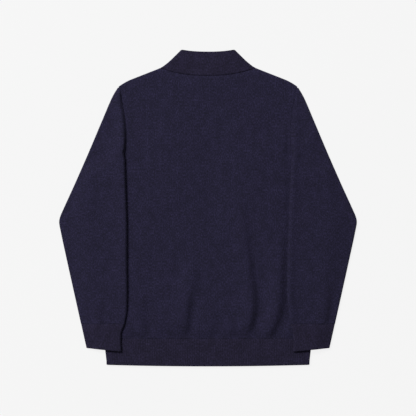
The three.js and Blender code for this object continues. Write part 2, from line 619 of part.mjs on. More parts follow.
for (const [side, facing] of [["right", 1], ["left", -1]]) {
  const notchLow = SLIDER.low - 1.2;
  const outline = [
    [TAPE.inner, TAPE.low],
    [TAPE.outer, TAPE.low],
    [TAPE.outer, TAPE.high],
    [SLIDER.notch, TAPE.high],
    [SLIDER.notch, notchLow],
    [TAPE.inner, notchLow - 1.6],
  ].map(([x, y]) => [x * facing, y]);
  addPiece(`zip_tape_${side}`, plate(facing > 0 ? outline : outline.reverse(), ZIP_Z.tape), zipTape);
}
addPiece("zip_chain", block([-ZIP.chainHalf, ZIP.chainHalf], [ZIP.bottomY + 6, CHAIN_TOP], ZIP_Z.chain), zipMetal);
addPiece("zip_bottom_stop", block([-2.1, 2.1], [ZIP.bottomY + 2, ZIP.bottomY + 5.7], ZIP_Z.chain), zipMetal);

// Solid of a mesh's geometry, for joining
const manifold = await Module();
manifold.setup();
function solid(geometry) {
  geometry.deleteAttribute("normal");
  geometry.deleteAttribute("uv");
  const merged = mergeVertices(geometry);
  const triVerts = new Uint32Array(merged.index.array);
  return new manifold.Manifold(new manifold.Mesh({ numProp: 3, vertProperties: merged.attributes.position.array, triVerts }));
}
function geometryOf(joined) {
  const mesh = joined.getMesh();
  const geometry = new THREE.BufferGeometry();
  geometry.setAttribute("position", new THREE.Float32BufferAttribute(mesh.vertProperties, 3));
  geometry.setIndex([...mesh.triVerts]);
  return geometry;
}
{
  const { halfTop, halfLow, low, high } = SLIDER;
  const body = plate(
    [
      [-halfLow, low],
      [halfLow, low],
      [halfLow + 0.3, low + 3.4],
      [halfTop, high - 3],
      [halfTop - 0.5, high - 0.8],
      [halfTop - 1.6, high],
      [-halfTop + 1.6, high],
      [-halfTop + 0.5, high - 0.8],
      [-halfTop, high - 3],
      [-halfLow - 0.3, low + 3.4],
    ],
    ZIP_Z.slider,
  );
  // The crown is an arch over the slider's outer plate, that the pull tab's bar passes under
  const arch = new THREE.Shape(
    [
      [low + 1.2, ZIP_Z.slider[0] + 0.2],
      [low + 1.2, ZIP_Z.crown[0] + 0.7],
      [low + 1.9, ZIP_Z.crown[0]],
      [low + 7.1, ZIP_Z.crown[0]],
      [low + 7.8, ZIP_Z.crown[0] + 0.7],
      [low + 7.8, ZIP_Z.slider[0] + 0.2],
      [low + 6.6, ZIP_Z.slider[0] + 0.2],
      [low + 6.6, ZIP_Z.crown[1]],
      [low + 2.4, ZIP_Z.crown[1]],
      [low + 2.4, ZIP_Z.slider[0] + 0.2],
    ].map(([y, z]) => new THREE.Vector2(y, z)),
  );
  const crown = new THREE.ExtrudeGeometry(arch, { depth: 1.8, bevelEnabled: false });
  crown.applyMatrix4(new THREE.Matrix4().set(0, 0, 1, -0.9, 1, 0, 0, 0, 0, 1, 0, 0, 0, 0, 0, 1));
  addPiece("zip_slider", geometryOf(solid(body).add(solid(crown))), zipMetal);
}
// Pull tab: a flat plate with a slot at its end, so that its narrow bar lies under the crown
{
  const bar = SLIDER.low + 4.5;
  const [top, end, half] = [bar + 0.5, bar - 21, 2.4];
  const outline = [
    [-half, top - 0.6],
    [-half, end + 1.6],
    [-half + 1.4, end],
    [half - 1.4, end],
    [half, end + 1.6],
    [half, top - 0.6],
    [half - 0.6, top],
    [-half + 0.6, top],
  ];
  const slot = [
    [-1.3, bar - 0.5],
    [1.3, bar - 0.5],
    [1.3, bar - 6.2],
    [-1.3, bar - 6.2],
  ];
  addPiece("zip_pull_tab", plate(outline, ZIP_Z.tab, [slot]), zipMetal);
}

export default sweater;
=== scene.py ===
import math

import bpy
import numpy as np
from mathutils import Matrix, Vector


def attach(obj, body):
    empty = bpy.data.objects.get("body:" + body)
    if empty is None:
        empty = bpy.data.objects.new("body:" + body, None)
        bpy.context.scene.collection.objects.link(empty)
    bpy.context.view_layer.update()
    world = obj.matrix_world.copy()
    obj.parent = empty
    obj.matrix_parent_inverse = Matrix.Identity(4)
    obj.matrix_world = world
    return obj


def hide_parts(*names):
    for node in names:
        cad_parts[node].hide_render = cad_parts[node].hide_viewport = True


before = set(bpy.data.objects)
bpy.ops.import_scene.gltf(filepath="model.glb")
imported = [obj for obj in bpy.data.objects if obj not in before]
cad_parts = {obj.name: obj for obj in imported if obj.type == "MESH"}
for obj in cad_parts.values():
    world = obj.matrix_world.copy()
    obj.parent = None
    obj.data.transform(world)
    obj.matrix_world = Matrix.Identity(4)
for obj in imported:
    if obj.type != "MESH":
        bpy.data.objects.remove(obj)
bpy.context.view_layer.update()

# Back panel. One piece of fine ribbed knit in a wool blend, shaped on the machine and linked to the others at its
# edges. It lies on the front panel, rises a little over the closed zip and puffs above the hem rib, where it creases.
# Sizes are in millimetres in the garment's own plan, x to its right and y up to its collar.
HEM_Y = -371.5
HEM_HALF = 238
RIB_TOP = (244, -306.7)
CHEST_HALF = 270
UNDERARM_Y = 80
SHOULDER_TIP = (209.6, 285)
NECK_POINT = (112, 328.5)
SEAM_GAP = 0.3
RIB_SEAM_Y = RIB_TOP[1] - 0.2  # the panels' lower edges are linked into the rib's
KNIT_WALL = 2.2
LAID_HEIGHT = 7  # front and back panel together
MIDDLE_Z = LAID_HEIGHT / 2
EDGE_RADIUS = MIDDLE_Z
BODY_SIDE = np.array(
    [RIB_TOP, (252, -297), (259, -280), (265, -245), (269, -160), (CHEST_HALF, -60), (CHEST_HALF, UNDERARM_Y)]
)
SHOULDER_SLOPE = 0.392
SHOULDER_SLANT = math.hypot(1, SHOULDER_SLOPE)
SHOULDER_ROUND = {"start": 179, "drop": 5.2}
BACK_NECK = {"drop": 18.5, "power": 2.4}


def mix(a, b, k):
    return a + (b - a) * k


def ease(x, start, end):
    k = np.clip((x - start) / (end - start), 0, 1)
    return k * k * (3 - 2 * k)


def round_profile(inside, radius):
    """0 at a folded edge to 1 one radius inside it, along a quarter of an ellipse."""
    return np.sqrt(1 - (1 - np.clip(inside / radius, 0, 1)) ** 2)


def smooth_path(points, steps=32):
    """Closely spaced points on a smooth curve through the given ones, and their distances along it."""
    p = np.array(points, float)
    p = np.vstack([2 * p[0] - p[1], p, 2 * p[-1] - p[-2]])
    dense = []
    for a, b, c, d in zip(p, p[1:], p[2:], p[3:]):
        before, here, after = (math.sqrt(math.dist(*pair)) for pair in ((a, b), (b, c), (c, d)))
        leave = ((b - a) / before - (c - a) / (before + here) + (c - b) / here) * here
        arrive = ((c - b) / here - (d - b) / (here + after) + (d - c) / after) * here
        k = np.linspace(0, 1, steps, endpoint=False)[:, None]
        dense.append(b + leave * k + (3 * (c - b) - 2 * leave - arrive) * k**2 + (2 * (b - c) + leave + arrive) * k**3)
    dense = np.vstack([*dense, p[-2]])
    return dense, np.concatenate([[0], np.cumsum(np.linalg.norm(np.diff(dense, axis=0), axis=1))])


def along(path, share):
    """The points at shares of a smooth path's length."""
    points, distance = path
    at = np.asarray(share, float) * distance[-1]
    return np.stack([np.interp(at, distance, points[:, i]) for i in (0, 1)], axis=-1)


def direction_along(path, share):
    ahead = along(path, np.clip(share + 0.004, 0, 1)) - along(path, np.clip(share - 0.004, 0, 1))
    return ahead / np.linalg.norm(ahead, axis=-1, keepdims=True)


ARMHOLE = smooth_path(
    [(CHEST_HALF, UNDERARM_Y), (243, 88), (217, 104), (200, 127), (194.5, 158), (196, 204), (203, 246), SHOULDER_TIP]
)


def top_edge(half, neck):
    """Height in plan of a panel's neckline and shoulder, at a distance from its centre line."""
    from_round = np.maximum(0, half - SHOULDER_ROUND["start"]) / (SHOULDER_TIP[0] - SHOULDER_ROUND["start"])
    shoulder = NECK_POINT[1] - SHOULDER_SLOPE * (half - NECK_POINT[0]) - SHOULDER_ROUND["drop"] * from_round**2
    neckline = NECK_POINT[1] - neck["drop"] * (1 - np.minimum(half / NECK_POINT[0], 1) ** neck["power"])
    return np.where(half < NECK_POINT[0], neckline, shoulder)


# Troughs above zero and ridges below it, each along a smooth line in plan. "left" and "right" are the widths of its
# two flanks as one looks along the line, and it is deepest at the share "deepest" of its length.
BACK_CREASES = [
    {"line": [(96, 80), (98, 0), (104, -70), (113, -136), (120, -185), (123, -223), (119, -258), (109, -287),
              (92, -305)],
     "left": 24, "right": 11, "depth": 5.4, "deepest": 0.66},
    {"line": [(74, 60), (78, -10), (84, -75), (94, -140), (99, -190), (101, -230), (97, -262), (84, -304)],
     "left": 11, "right": 22, "depth": -5.2, "deepest": 0.68},
    {"line": [(194, -20), (196, -90), (196, -136), (194, -181), (191, -223), (184, -256), (170, -287), (150, -305)],
     "left": 10, "right": 14, "depth": 6.4, "deepest": 0.6},
    {"line": [(176, -60), (170, -136), (167, -181), (163, -223), (155, -256), (143, -287), (128, -304)],
     "left": 11, "right": 24, "depth": -5.6, "deepest": 0.62},
    {"line": [(-44, -85), (-40, -130), (-40, -165), (-44, -205), (-52, -240), (-60, -290)],
     "left": 16, "right": 30, "depth": -5.4, "deepest": 0.5},
    {"line": [(-34, -160), (-36, -190), (-37, -223), (-40, -256), (-43, -287), (-54, -306)],
     "left": 14, "right": 7, "depth": 3.6, "deepest": 0.6},
    {"line": [(-74, -70), (-72, -110), (-68, -150), (-70, -190)],
     "left": 10, "right": 14, "depth": 1.5, "deepest": 0.5},
    {"line": [(-126, -60), (-130, -110), (-128, -150), (-132, -190)],
     "left": 12, "right": 15, "depth": 1.6, "deepest": 0.5},
    {"line": [(-136, -160), (-140, -205), (-140, -250), (-138, -304)],
     "left": 16, "right": 8, "depth": 2.2, "deepest": 0.7},
    {"line": [(-160, -190), (-162, -240), (-160, -304)],
     "left": 12, "right": 12, "depth": -1.6, "deepest": 0.6},
    {"line": [(-178, -262), (-175, -285), (-170, -308)], "left": 8, "right": 7, "depth": 2.0, "deepest": 0.8},
    {"line": [(-100, -258), (-104, -280), (-108, -308)], "left": 9, "right": 8, "depth": 1.4, "deepest": 0.8},
    {"line": [(26, -225), (24, -262), (18, -308)], "left": 12, "right": 10, "depth": 1.6, "deepest": 0.75},
    {"line": [(64, -262), (63, -285), (58, -308)], "left": 9, "right": 7, "depth": 1.4, "deepest": 0.8},
    {"line": [(204, 262), (196, 210), (190, 160), (188, 110)],
     "left": 8, "right": 7, "depth": 2, "deepest": 0.5},
    {"line": [(192, 150), (192, 60), (192, -60), (188, -200)],
     "left": 10, "right": 13, "depth": 2.4, "deepest": 0.3},
    {"line": [(-4, 270), (8, 120), (6, 20), (10, -60)],
     "left": 30, "right": 34, "depth": 1.5, "deepest": 0.4},
    {"line": [(-84, 262), (-96, 140), (-60, 0)], "left": 46, "right": 40, "depth": -1.9, "deepest": 0.45},
    {"line": [(106, 215), (108, 100), (76, -10)], "left": 42, "right": 36, "depth": -1.0, "deepest": 0.5},
    {"line": [(-150, 60), (-156, -80), (-120, -230)],
     "left": 30, "right": 30, "depth": -1.1, "deepest": 0.55},
    {"line": [(-186, 236), (-160, 200), (-118, 172)], "left": 18, "right": 16, "depth": 1.1, "deepest": 0.4},
    {"line": [(190, 236), (160, 192), (112, 160)], "left": 18, "right": 20, "depth": 1.5, "deepest": 0.3},
    {"line": [(150, 262), (108, 240), (60, 232)], "left": 16, "right": 16, "depth": 0.8, "deepest": 0.4},
]


def crease_depth(x, y, creases):
    """How far a surface is pressed down by its creases."""
    x, y = np.broadcast_arrays(x, y)
    points = np.stack([x.ravel(), y.ravel()], axis=1)
    depth = np.zeros(len(points))
    for crease in creases:
        line, distance = smooth_path(crease["line"], 8)
        nearest = ((points[:, None] - line[None]) ** 2).sum(-1).argmin(1)
        ahead = np.gradient(line, axis=0)[nearest]
        ahead /= np.linalg.norm(ahead, axis=1, keepdims=True)
        apart = points - line[nearest]
        side = ahead[:, 0] * apart[:, 1] - ahead[:, 1] * apart[:, 0]
        k = (distance[nearest] + (ahead * apart).sum(1)) / distance[-1]
        strength = ease(k, 0, crease["deepest"]) * (1 - ease(k, max(crease["deepest"], 0.9), 1))
        width = np.where(side > 0, crease["left"], crease["right"])
        depth += crease["depth"] * strength * np.exp(-((side / width) ** 2))
    return depth.reshape(x.shape)


# Low swells left by handling, as wavelengths in x and y, a turn in degrees and a height
SWELLS = [(93, 210, 12, 0.16), (61, 148, -17, 0.12), (157, 83, 31, 0.16), (41, 97, 6, 0.07)]


def swell(x, y, seed):
    height = 0
    for i, (across, down, turn, size) in enumerate(SWELLS):
        c, s = math.cos(math.radians(turn)), math.sin(math.radians(turn))
        u, v = (x * c + y * s) / across, (y * c - x * s) / down
        height = height + size * np.sin(2 * math.pi * (u + 0.3 * np.sin(2 * math.pi * v) + seed * 0.37 * (i + 1)))
    return height


def back_height(x, y):
    """Height of the back panel's outer face, without its seams and creases."""
    crest = 0.9 * (1 - ease(np.abs(x), 60, 200))
    blouse = 2.4 * ease(y, -304, -285) * (1 - ease(y, -260, -120)) * (1 - ease(np.abs(x), 170, 215))
    over_zip = 2.2 * (1 - ease(np.abs(x), 15, 75)) * ease(y, 235, 300)
    return LAID_HEIGHT + crest + blouse + over_zip


SEAM_DIP = {"depth": 0.9, "reach": 5}


def seam_dip(distance):
    return SEAM_DIP["depth"] * (1 - ease(np.abs(distance), 0, SEAM_DIP["reach"]))


def toward_edge(radius, steps=6):
    """Distances in from a rounded edge, closest together at the edge."""
    return radius * (1 - np.cos(np.linspace(0, math.pi / 2, steps)))


def side_rows(pitch):
    """The rows of a body panel as half width, height in plan, and 1 where the side is folded or 0 along the armhole."""
    lower = np.concatenate(
        [RIB_SEAM_Y + toward_edge(4), np.arange(RIB_SEAM_Y + 4 + pitch, UNDERARM_Y - 2, pitch), [UNDERARM_Y - 1.5]]
    )
    sides = np.stack([np.interp(lower, BODY_SIDE[:, 1], BODY_SIDE[:, 0]), lower, np.ones_like(lower)], axis=1)
    length = ARMHOLE[1][-1]
    down = np.concatenate([toward_edge(EDGE_RADIUS * SHOULDER_SLANT), np.arange(4 + pitch, length - 1, pitch), [length]])
    armhole = along(ARMHOLE, 1 - down[::-1] / length)
    return np.vstack([sides, np.column_stack([armhole, np.zeros(len(armhole))])])


def panel_columns(neck_columns, shoulder_columns):
    """Columns across a panel as a share of its half width and a distance in from its edge, in radii."""
    neck_share = NECK_POINT[0] / SHOULDER_TIP[0]
    middle = np.linspace(-neck_share, neck_share, neck_columns + 1)
    shoulder = np.linspace(neck_share, 1, shoulder_columns + 1)[1:]
    edges = toward_edge(1)[::-1][1:]
    share = np.concatenate([-np.ones(5), -shoulder[::-1], middle, shoulder, np.ones(5)])
    inside = np.concatenate([edges[::-1], np.ones(len(share) - 10), edges])
    return share, inside


def panel_grid(rows, columns, neck, seam_z, face):
    """The outer and inner points of a body panel. face(x, y, side, top, shoulder) gives their heights on its flat."""
    half, row_y, wrap = (rows[:, i : i + 1] for i in range(3))
    share, inside = columns
    x = np.sign(share) * np.minimum(np.abs(share) * half, half - EDGE_RADIUS * inside)
    top_half = np.abs(x) / half * SHOULDER_TIP[0]
    rise = np.clip((row_y - UNDERARM_Y) / (SHOULDER_TIP[1] - UNDERARM_Y), 0, 1)
    edge_y = top_edge(top_half, neck)
    y = row_y + (edge_y - SHOULDER_TIP[1]) * rise
    side = half - np.abs(x)
    top = (edge_y - y) / SHOULDER_SLANT
    shoulder = ease(top_half, NECK_POINT[0] - 6, NECK_POINT[0] + 8)
    wrap = np.broadcast_to(wrap, x.shape)
    outer_z, inner_z = face(x, y, np.where(wrap > 0, 99, side), np.where(shoulder < 1, top, 99))
    depth = np.abs(outer_z - inner_z)
    inset_x = np.sign(x) * depth * wrap * np.maximum(0, 1 - side / EDGE_RADIUS)
    inset_y = depth * shoulder * SHOULDER_SLANT * np.maximum(0, 1 - top / EDGE_RADIUS)
    rounding = np.minimum(
        mix(1, round_profile(side, EDGE_RADIUS), wrap), mix(1, round_profile(top, EDGE_RADIUS), shoulder)
    )
    outer = np.stack([x, y, mix(seam_z, outer_z, rounding)], axis=-1)
    inner = np.stack([x - inset_x, y - inset_y, mix(seam_z, inner_z, rounding)], axis=-1)
    return outer, inner


def pinch(outer, inner, share):
    """Brings the two faces of a wall together towards an open edge, so that it ends rounded."""
    share = np.asarray(share, float)[..., None]
    middle = (outer + inner) / 2
    return mix(middle, outer, share), mix(middle, inner, share)


def edge_shares(distance, radius, least=0.3):
    """How much of a wall's thickness is left at a distance from an open edge."""
    return np.maximum(least, round_profile(distance, radius))


def cloth_piece(name, outer, inner, cloth, facing=1, closed=False, keep=None):
    """A closed shell of cloth from a grid of outer and inner points in millimetres. "cloth" gives each point's place
    on the flat cloth, with one more column than the grid where the piece is a tube."""
    rows, columns = outer.shape[:2]
    i, j = np.meshgrid(np.arange(rows - 1), np.arange(columns if closed else columns - 1), indexing="ij")
    used = np.ones(i.shape, bool) if keep is None else keep
    i, j = i[used], j[used]
    after = (j + 1) % columns
    corners = np.stack([i * columns + j, i * columns + after, (i + 1) * columns + after, (i + 1) * columns + j], axis=1)
    cloth_columns = cloth.shape[1]
    flat = np.stack(
        [i * cloth_columns + j, i * cloth_columns + j + 1, (i + 1) * cloth_columns + j + 1, (i + 1) * cloth_columns + j],
        axis=1,
    )
    if facing < 0:
        corners, flat = corners[:, ::-1], flat[:, ::-1]
    behind = rows * columns
    corner_pairs = np.stack([corners, np.roll(corners, -1, 1)], -1)
    flat_pairs = np.stack([flat, np.roll(flat, -1, 1)], -1)
    sides = np.concatenate([corner_pairs, flat_pairs], -1)
    sides = sides.reshape(-1, 4)
    known = {(a, b) for a, b, _, _ in sides.tolist()}
    open_sides = np.array([side for side in sides.tolist() if (side[1], side[0]) not in known])
    a, b, flat_a, flat_b = open_sides.T
    faces = np.vstack([corners, corners[:, ::-1] + behind, np.stack([b, a, a + behind, b + behind], axis=1)])
    places = np.vstack([flat, flat[:, ::-1], np.stack([flat_b, flat_a, flat_a, flat_b], axis=1)])
    points = np.vstack([outer.reshape(-1, 3), inner.reshape(-1, 3)]) / 1000
    kept, faces = np.unique(faces, return_inverse=True)
    faces = faces.reshape(-1, 4)
    mesh = bpy.data.meshes.new(name)
    mesh.from_pydata(points[kept].tolist(), [], faces.tolist())
    layer = mesh.uv_layers.new(name="cloth")
    layer.data.foreach_set("uv", (cloth.reshape(-1, 2)[places.ravel()] / 1000).astype(np.float32).ravel())
    mesh.shade_smooth()
    mesh.validate()
    piece = bpy.data.objects.new(name, mesh)
    bpy.context.scene.collection.objects.link(piece)
    return piece


def cloth_node(tree, kind, settings=(), links=()):
    """Adds a node with its settings, and links its inputs from other nodes' outputs."""
    node = tree.nodes.new(kind)
    for key, value in dict(settings).items():
        if isinstance(key, str) and hasattr(node, key):
            setattr(node, key, value)
        else:
            node.inputs[key].default_value = value
    for key, output in dict(links).items():
        tree.links.new(output, node.inputs[key])
    return node


def linear(colour):
    """A colour given as sRGB hex, as linear RGBA."""
    parts = [int(colour[i : i + 2], 16) / 255 for i in (1, 3, 5)]
    return [c / 12.92 if c <= 0.04045 else ((c + 0.055) / 1.055) ** 2.4 for c in parts] + [1]


def new_material(name):
    material = bpy.data.materials.new(name)
    material.use_nodes = True
    material.node_tree.nodes.clear()
    return material, material.node_tree


# Fine ribbed knit of mélange yarn, navy fibres spun with some lighter and darker ones. The eye sees thin upright
# wales and a soft mottle, and a light bloom of loose fibre where the cloth turns away. The wales are 2.8 mm apart.
# The colour is painted darker in the grooves between the wales, as painted shade.
KNIT = {"wale": 2.8, "course": 1.9, "dark": "#1b192a", "middle": "#232037", "light": "#302c49"}


def knit_material(name, knit, groove, relief):
    material, tree = new_material(name)
    place = cloth_node(tree, "ShaderNodeUVMap", {"uv_map": "cloth"})
    split = cloth_node(tree, "ShaderNodeSeparateXYZ", links={0: place.outputs[0]})

    def maths(operation, *values):
        node = tree.nodes.new("ShaderNodeMath")
        node.operation = operation
        for slot, value in enumerate(values):
            if isinstance(value, (int, float)):
                node.inputs[slot].default_value = value
            else:
                tree.links.new(value, node.inputs[slot])
        return node.outputs[0]

    across = maths("MULTIPLY", split.outputs[0], 1000 / knit["wale"])
    wale = maths("PINGPONG", across, 0.5)
    wale = maths("MULTIPLY", wale, 2)
    slope = maths("MULTIPLY", wale, 0.5)
    down = maths("ADD", maths("MULTIPLY", split.outputs[1], 1000 / knit["course"]), slope)
    course = maths("MULTIPLY", maths("PINGPONG", down, 0.5), 2)
    fibre_place = cloth_node(
        tree, "ShaderNodeMapping", {"Scale": (1000 / 2.7, 1000 / 4.4, 1)}, {"Vector": place.outputs[0]}
    )
    fibre = cloth_node(
        tree, "ShaderNodeTexNoise", {"Scale": 1, "Detail": 2, "Roughness": 0.55}, {"Vector": fibre_place.outputs[0]}
    )
    cloud_place = cloth_node(
        tree, "ShaderNodeMapping", {"Scale": (1000 / 17, 1000 / 26, 1)}, {"Vector": place.outputs[0]}
    )
    cloud = cloth_node(
        tree, "ShaderNodeTexNoise", {"Scale": 1, "Detail": 2, "Roughness": 0.5}, {"Vector": cloud_place.outputs[0]}
    )
    mottle = maths("ADD", maths("MULTIPLY", fibre.outputs[0], 0.78), maths("MULTIPLY", cloud.outputs[0], 0.22))
    ramp = cloth_node(tree, "ShaderNodeValToRGB", links={0: mottle})
    stops = ramp.color_ramp.elements
    stops[0].position, stops[0].color = 0.36, linear(knit["dark"])
    stops[1].position, stops[1].color = 0.66, linear(knit["light"])
    middle = stops.new(0.51)
    middle.color = linear(knit["middle"])
    # Painted shade: the colour is multiplied darker in the grooves between the wales, by the share "groove".
    painted_groove_shade = maths("ADD", 1 - groove, maths("MULTIPLY", maths("POWER", wale, 0.7), groove))
    colour = cloth_node(
        tree,
        "ShaderNodeMix",
        {"data_type": "RGBA", "blend_type": "MULTIPLY"},
    )
    colour.inputs[0].default_value = 1
    tree.links.new(ramp.outputs[0], colour.inputs[6])
    tree.links.new(painted_groove_shade, colour.inputs[7])
    height = maths(
        "ADD",
        maths("ADD", maths("MULTIPLY", wale, 0.6), maths("MULTIPLY", course, 0.25)),
        maths("MULTIPLY", fibre.outputs[0], 0.5),
    )
    bump = cloth_node(
        tree, "ShaderNodeBump", {"Strength": relief, "Distance": 0.0006}, {"Height": height}
    )
    cloth = cloth_node(
        tree,
        "ShaderNodeBsdfPrincipled",
        {"Roughness": 0.92, "Sheen Weight": 0.18, "Sheen Roughness": 0.45, "Sheen Tint": linear("#8f8cab")},
        {"Base Color": colour.outputs[2], "Normal": bump.outputs[0]},
    )
    cloth.inputs["Specular IOR Level"].default_value = 0.15
    cloth_node(tree, "ShaderNodeOutputMaterial", links={0: cloth.outputs[0]})
    return material


# groove: how strongly painted shade darkens the knit's colour between its wales
knit_cloth = knit_material("melange wool knit", KNIT, groove=0.42, relief=0.5)


LOWEST = 5  # where the panel touches the one below


def back_face(x, y, side, top):
    seams = np.maximum(0.6 * seam_dip(y - RIB_TOP[1]), np.maximum(seam_dip(side), seam_dip(top)))
    calm = ease(side, 4, 26) * ease(top, 4, 26)
    creases = crease_depth(x, y, BACK_CREASES) * ease(side, 1, 9) * ease(top, 4, 26)
    ridges_end = 1 - ease(np.abs(x), 172, 186)  # before the sleeves that lie on the panel
    z = back_height(x, y) + swell(x, y, 1) * calm - np.where(creases < 0, ridges_end, 1) * creases - seams
    z = np.maximum(z, LOWEST)
    return z, z - KNIT_WALL


back_rows = side_rows(3.8)
outer, inner = panel_grid(back_rows, panel_columns(80, 32), BACK_NECK, MIDDLE_Z + SEAM_GAP / 2, back_face)
from_hem = outer[:, :, 1] - RIB_SEAM_Y
outer, inner = pinch(outer, inner, edge_shares(from_hem, 1.1))
back_panel = cloth_piece("back_panel", outer, inner, outer[:, :, :2])
back_panel.data.materials.append(knit_cloth)
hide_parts("body_back")
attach(back_panel, "sweater")

# Front panel. The same knit, with an opening at its centre from the neckline down to the foot of the zip. Its edges
# are turned under and doubled beside the zip. It lies face down on the surface, flat under the garment's weight.
FRONT_NECK = {"drop": 56, "power": 2.2}
ZIP_OPENING_HALF = 4
ZIP_FOOT_Y = 104
ZIP_EDGE_WALL = 3.6


def front_face(x, y, side, top):
    doubled = (1 - ease(np.abs(x), 8, 30)) * ease(y, ZIP_FOOT_Y - 14, ZIP_FOOT_Y - 6)
    pressed = 0.35 * np.maximum(0, swell(x, y, 3)) * ease(side, 4, 26) * ease(top, 4, 26)
    z = pressed + 0.5 * seam_dip(y - RIB_TOP[1])
    return z, z + mix(KNIT_WALL, ZIP_EDGE_WALL, doubled)


rows = side_rows(7)
share, inside = panel_columns(24, 10)
middle = len(share) // 2
opening = ZIP_OPENING_HALF / CHEST_HALF
share = np.concatenate([share[:middle], [-opening, opening], share[middle + 1 :]])
inside = np.concatenate([inside[:middle], [1, 1], inside[middle + 1 :]])
outer, inner = panel_grid(rows, (share, inside), FRONT_NECK, MIDDLE_Z - SEAM_GAP / 2, front_face)
for grid in (outer, inner):
    grid[:, middle, 0] = -ZIP_OPENING_HALF
    grid[:, middle + 1, 0] = ZIP_OPENING_HALF
keep = np.ones((outer.shape[0] - 1, outer.shape[1] - 1), bool)
keep[outer[:-1, middle, 1] > ZIP_FOOT_Y - 8, middle] = False
front_panel = cloth_piece("front_panel", outer, inner, outer[:, :, :2], facing=-1, keep=keep)
front_panel.data.materials.append(knit_cloth)
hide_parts("body_front")
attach(front_panel, "sweater")

# Hem rib, in two pieces. A firmer rib knitted double, linked to the lower edge of each panel. Its thick ribs stand
# 5.5 mm apart, it holds the panels' width in, and it ends in a tubular edge.
RIB_WALL = 2.6
RIBBING = {"pitch": 5.5, "depth": 0.42}
TUBULAR_EDGE = 5.5


def carve_ribs(outer, inner, across, from_edge):
    """Sinks the grooves between ribs into a wall's outer points. They stop at the tubular edge."""
    out = outer - inner
    out /= np.maximum(np.linalg.norm(out, axis=-1, keepdims=True), 1e-6)
    groove = (0.5 - 0.5 * np.cos(2 * math.pi * across / RIBBING["pitch"])) ** 1.4
    depth = RIBBING["depth"] * groove * ease(from_edge, TUBULAR_EDGE - 1, TUBULAR_EDGE + 1)
    welt = 0.35 * np.exp(-(((from_edge - TUBULAR_EDGE) / 1.1) ** 2))
    return outer - out * (depth + welt)[..., None]


RIB_KNIT = {"wale": 2.75, "course": 1.9, "dark": "#1a1726", "middle": "#211d31", "light": "#2d2841"}
# groove: how strongly painted shade darkens the ribbing's colour between its wales
rib_cloth = knit_material("double knit ribbing", RIB_KNIT, groove=0.22, relief=0.4)


def hem_rib(name, node, ribs_per_side, seam_z, face, facing):
    low, high = HEM_Y, RIB_TOP[1] + 0.5
    down = np.concatenate([toward_edge(3), np.arange(6, 60, 4.2), [63, 64.5]])
    k = (down / (high - low))[:, None]
    k = np.append(k[k[:, 0] < 0.985], [[0.985], [1.0]], axis=0)
    half = mix(RIB_TOP[0], HEM_HALF, k)
    flat = np.linspace(-1, 1, ribs_per_side * 2 * 6 + 1)
    share = np.concatenate([-np.ones(5), flat, np.ones(5)])
    edges = toward_edge(1)[::-1][1:]
    inside_radii = np.concatenate([edges[::-1], np.ones(len(flat)), edges])
    x = np.sign(share) * np.minimum(np.abs(share) * half, half - EDGE_RADIUS * inside_radii)
    y = mix(high, low + 3.5 * (x / HEM_HALF) ** 2, k)
    inside = half - np.abs(x)
    rounding = round_profile(inside, EDGE_RADIUS)
    outer_z, inner_z = face(x, y)
    inset = np.sign(x) * RIB_WALL * np.maximum(0, 1 - inside / EDGE_RADIUS)
    outer = np.stack([x, y, mix(seam_z, outer_z, rounding)], axis=-1)
    inner = np.stack([x - inset, y, mix(seam_z, inner_z, rounding)], axis=-1)
    from_edge = (1 - k) * (high - low) + 0 * x
    outer = carve_ribs(outer, inner, x, from_edge)
    ends = np.minimum(edge_shares(from_edge, RIB_WALL / 2, 0.2), edge_shares(high - low - from_edge, 1.1))
    outer, inner = pinch(outer, inner, ends)
    piece = cloth_piece(name, outer, inner, outer[:, :, :2], facing=facing)
    piece.data.materials.append(rib_cloth)
    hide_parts(node)
    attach(piece, "sweater")
    return piece


HEM_CREASES = [
    {"line": [(92, -300), (86, -330), (84, -352)], "left": 8, "right": 8, "depth": 0.7, "deepest": 0.2},
    {"line": [(140, -300), (128, -325), (124, -346)], "left": 8, "right": 8, "depth": 0.7, "deepest": 0.2},
    {"line": [(-60, -300), (-68, -325), (-70, -350)], "left": 9, "right": 8, "depth": 0.6, "deepest": 0.2},
    {"line": [(-138, -300), (-146, -320), (-152, -345)], "left": 8, "right": 8, "depth": 0.8, "deepest": 0.2},
]


def rib_height(x, y):
    z = LAID_HEIGHT + 0.4 * (1 - ease(np.abs(x), 60, 200)) - 0.6 * seam_dip(y - RIB_TOP[1])
    return z - crease_depth(x, y, HEM_CREASES) * (1 - ease(np.abs(y - RIB_TOP[1]), 30, 50))


def rib_back_face(x, y):
    z = rib_height(x, y)
    return z, z - RIB_WALL


def rib_front_face(x, y):
    return 0 * x, 0 * x + RIB_WALL


hem_rib("hem_rib_of_back", "hem_rib_back", 43, MIDDLE_Z + SEAM_GAP / 2, rib_back_face, -1)
hem_rib("hem_rib_of_front", "hem_rib_front", 43, MIDDLE_Z - SEAM_GAP / 2, rib_front_face, 1)

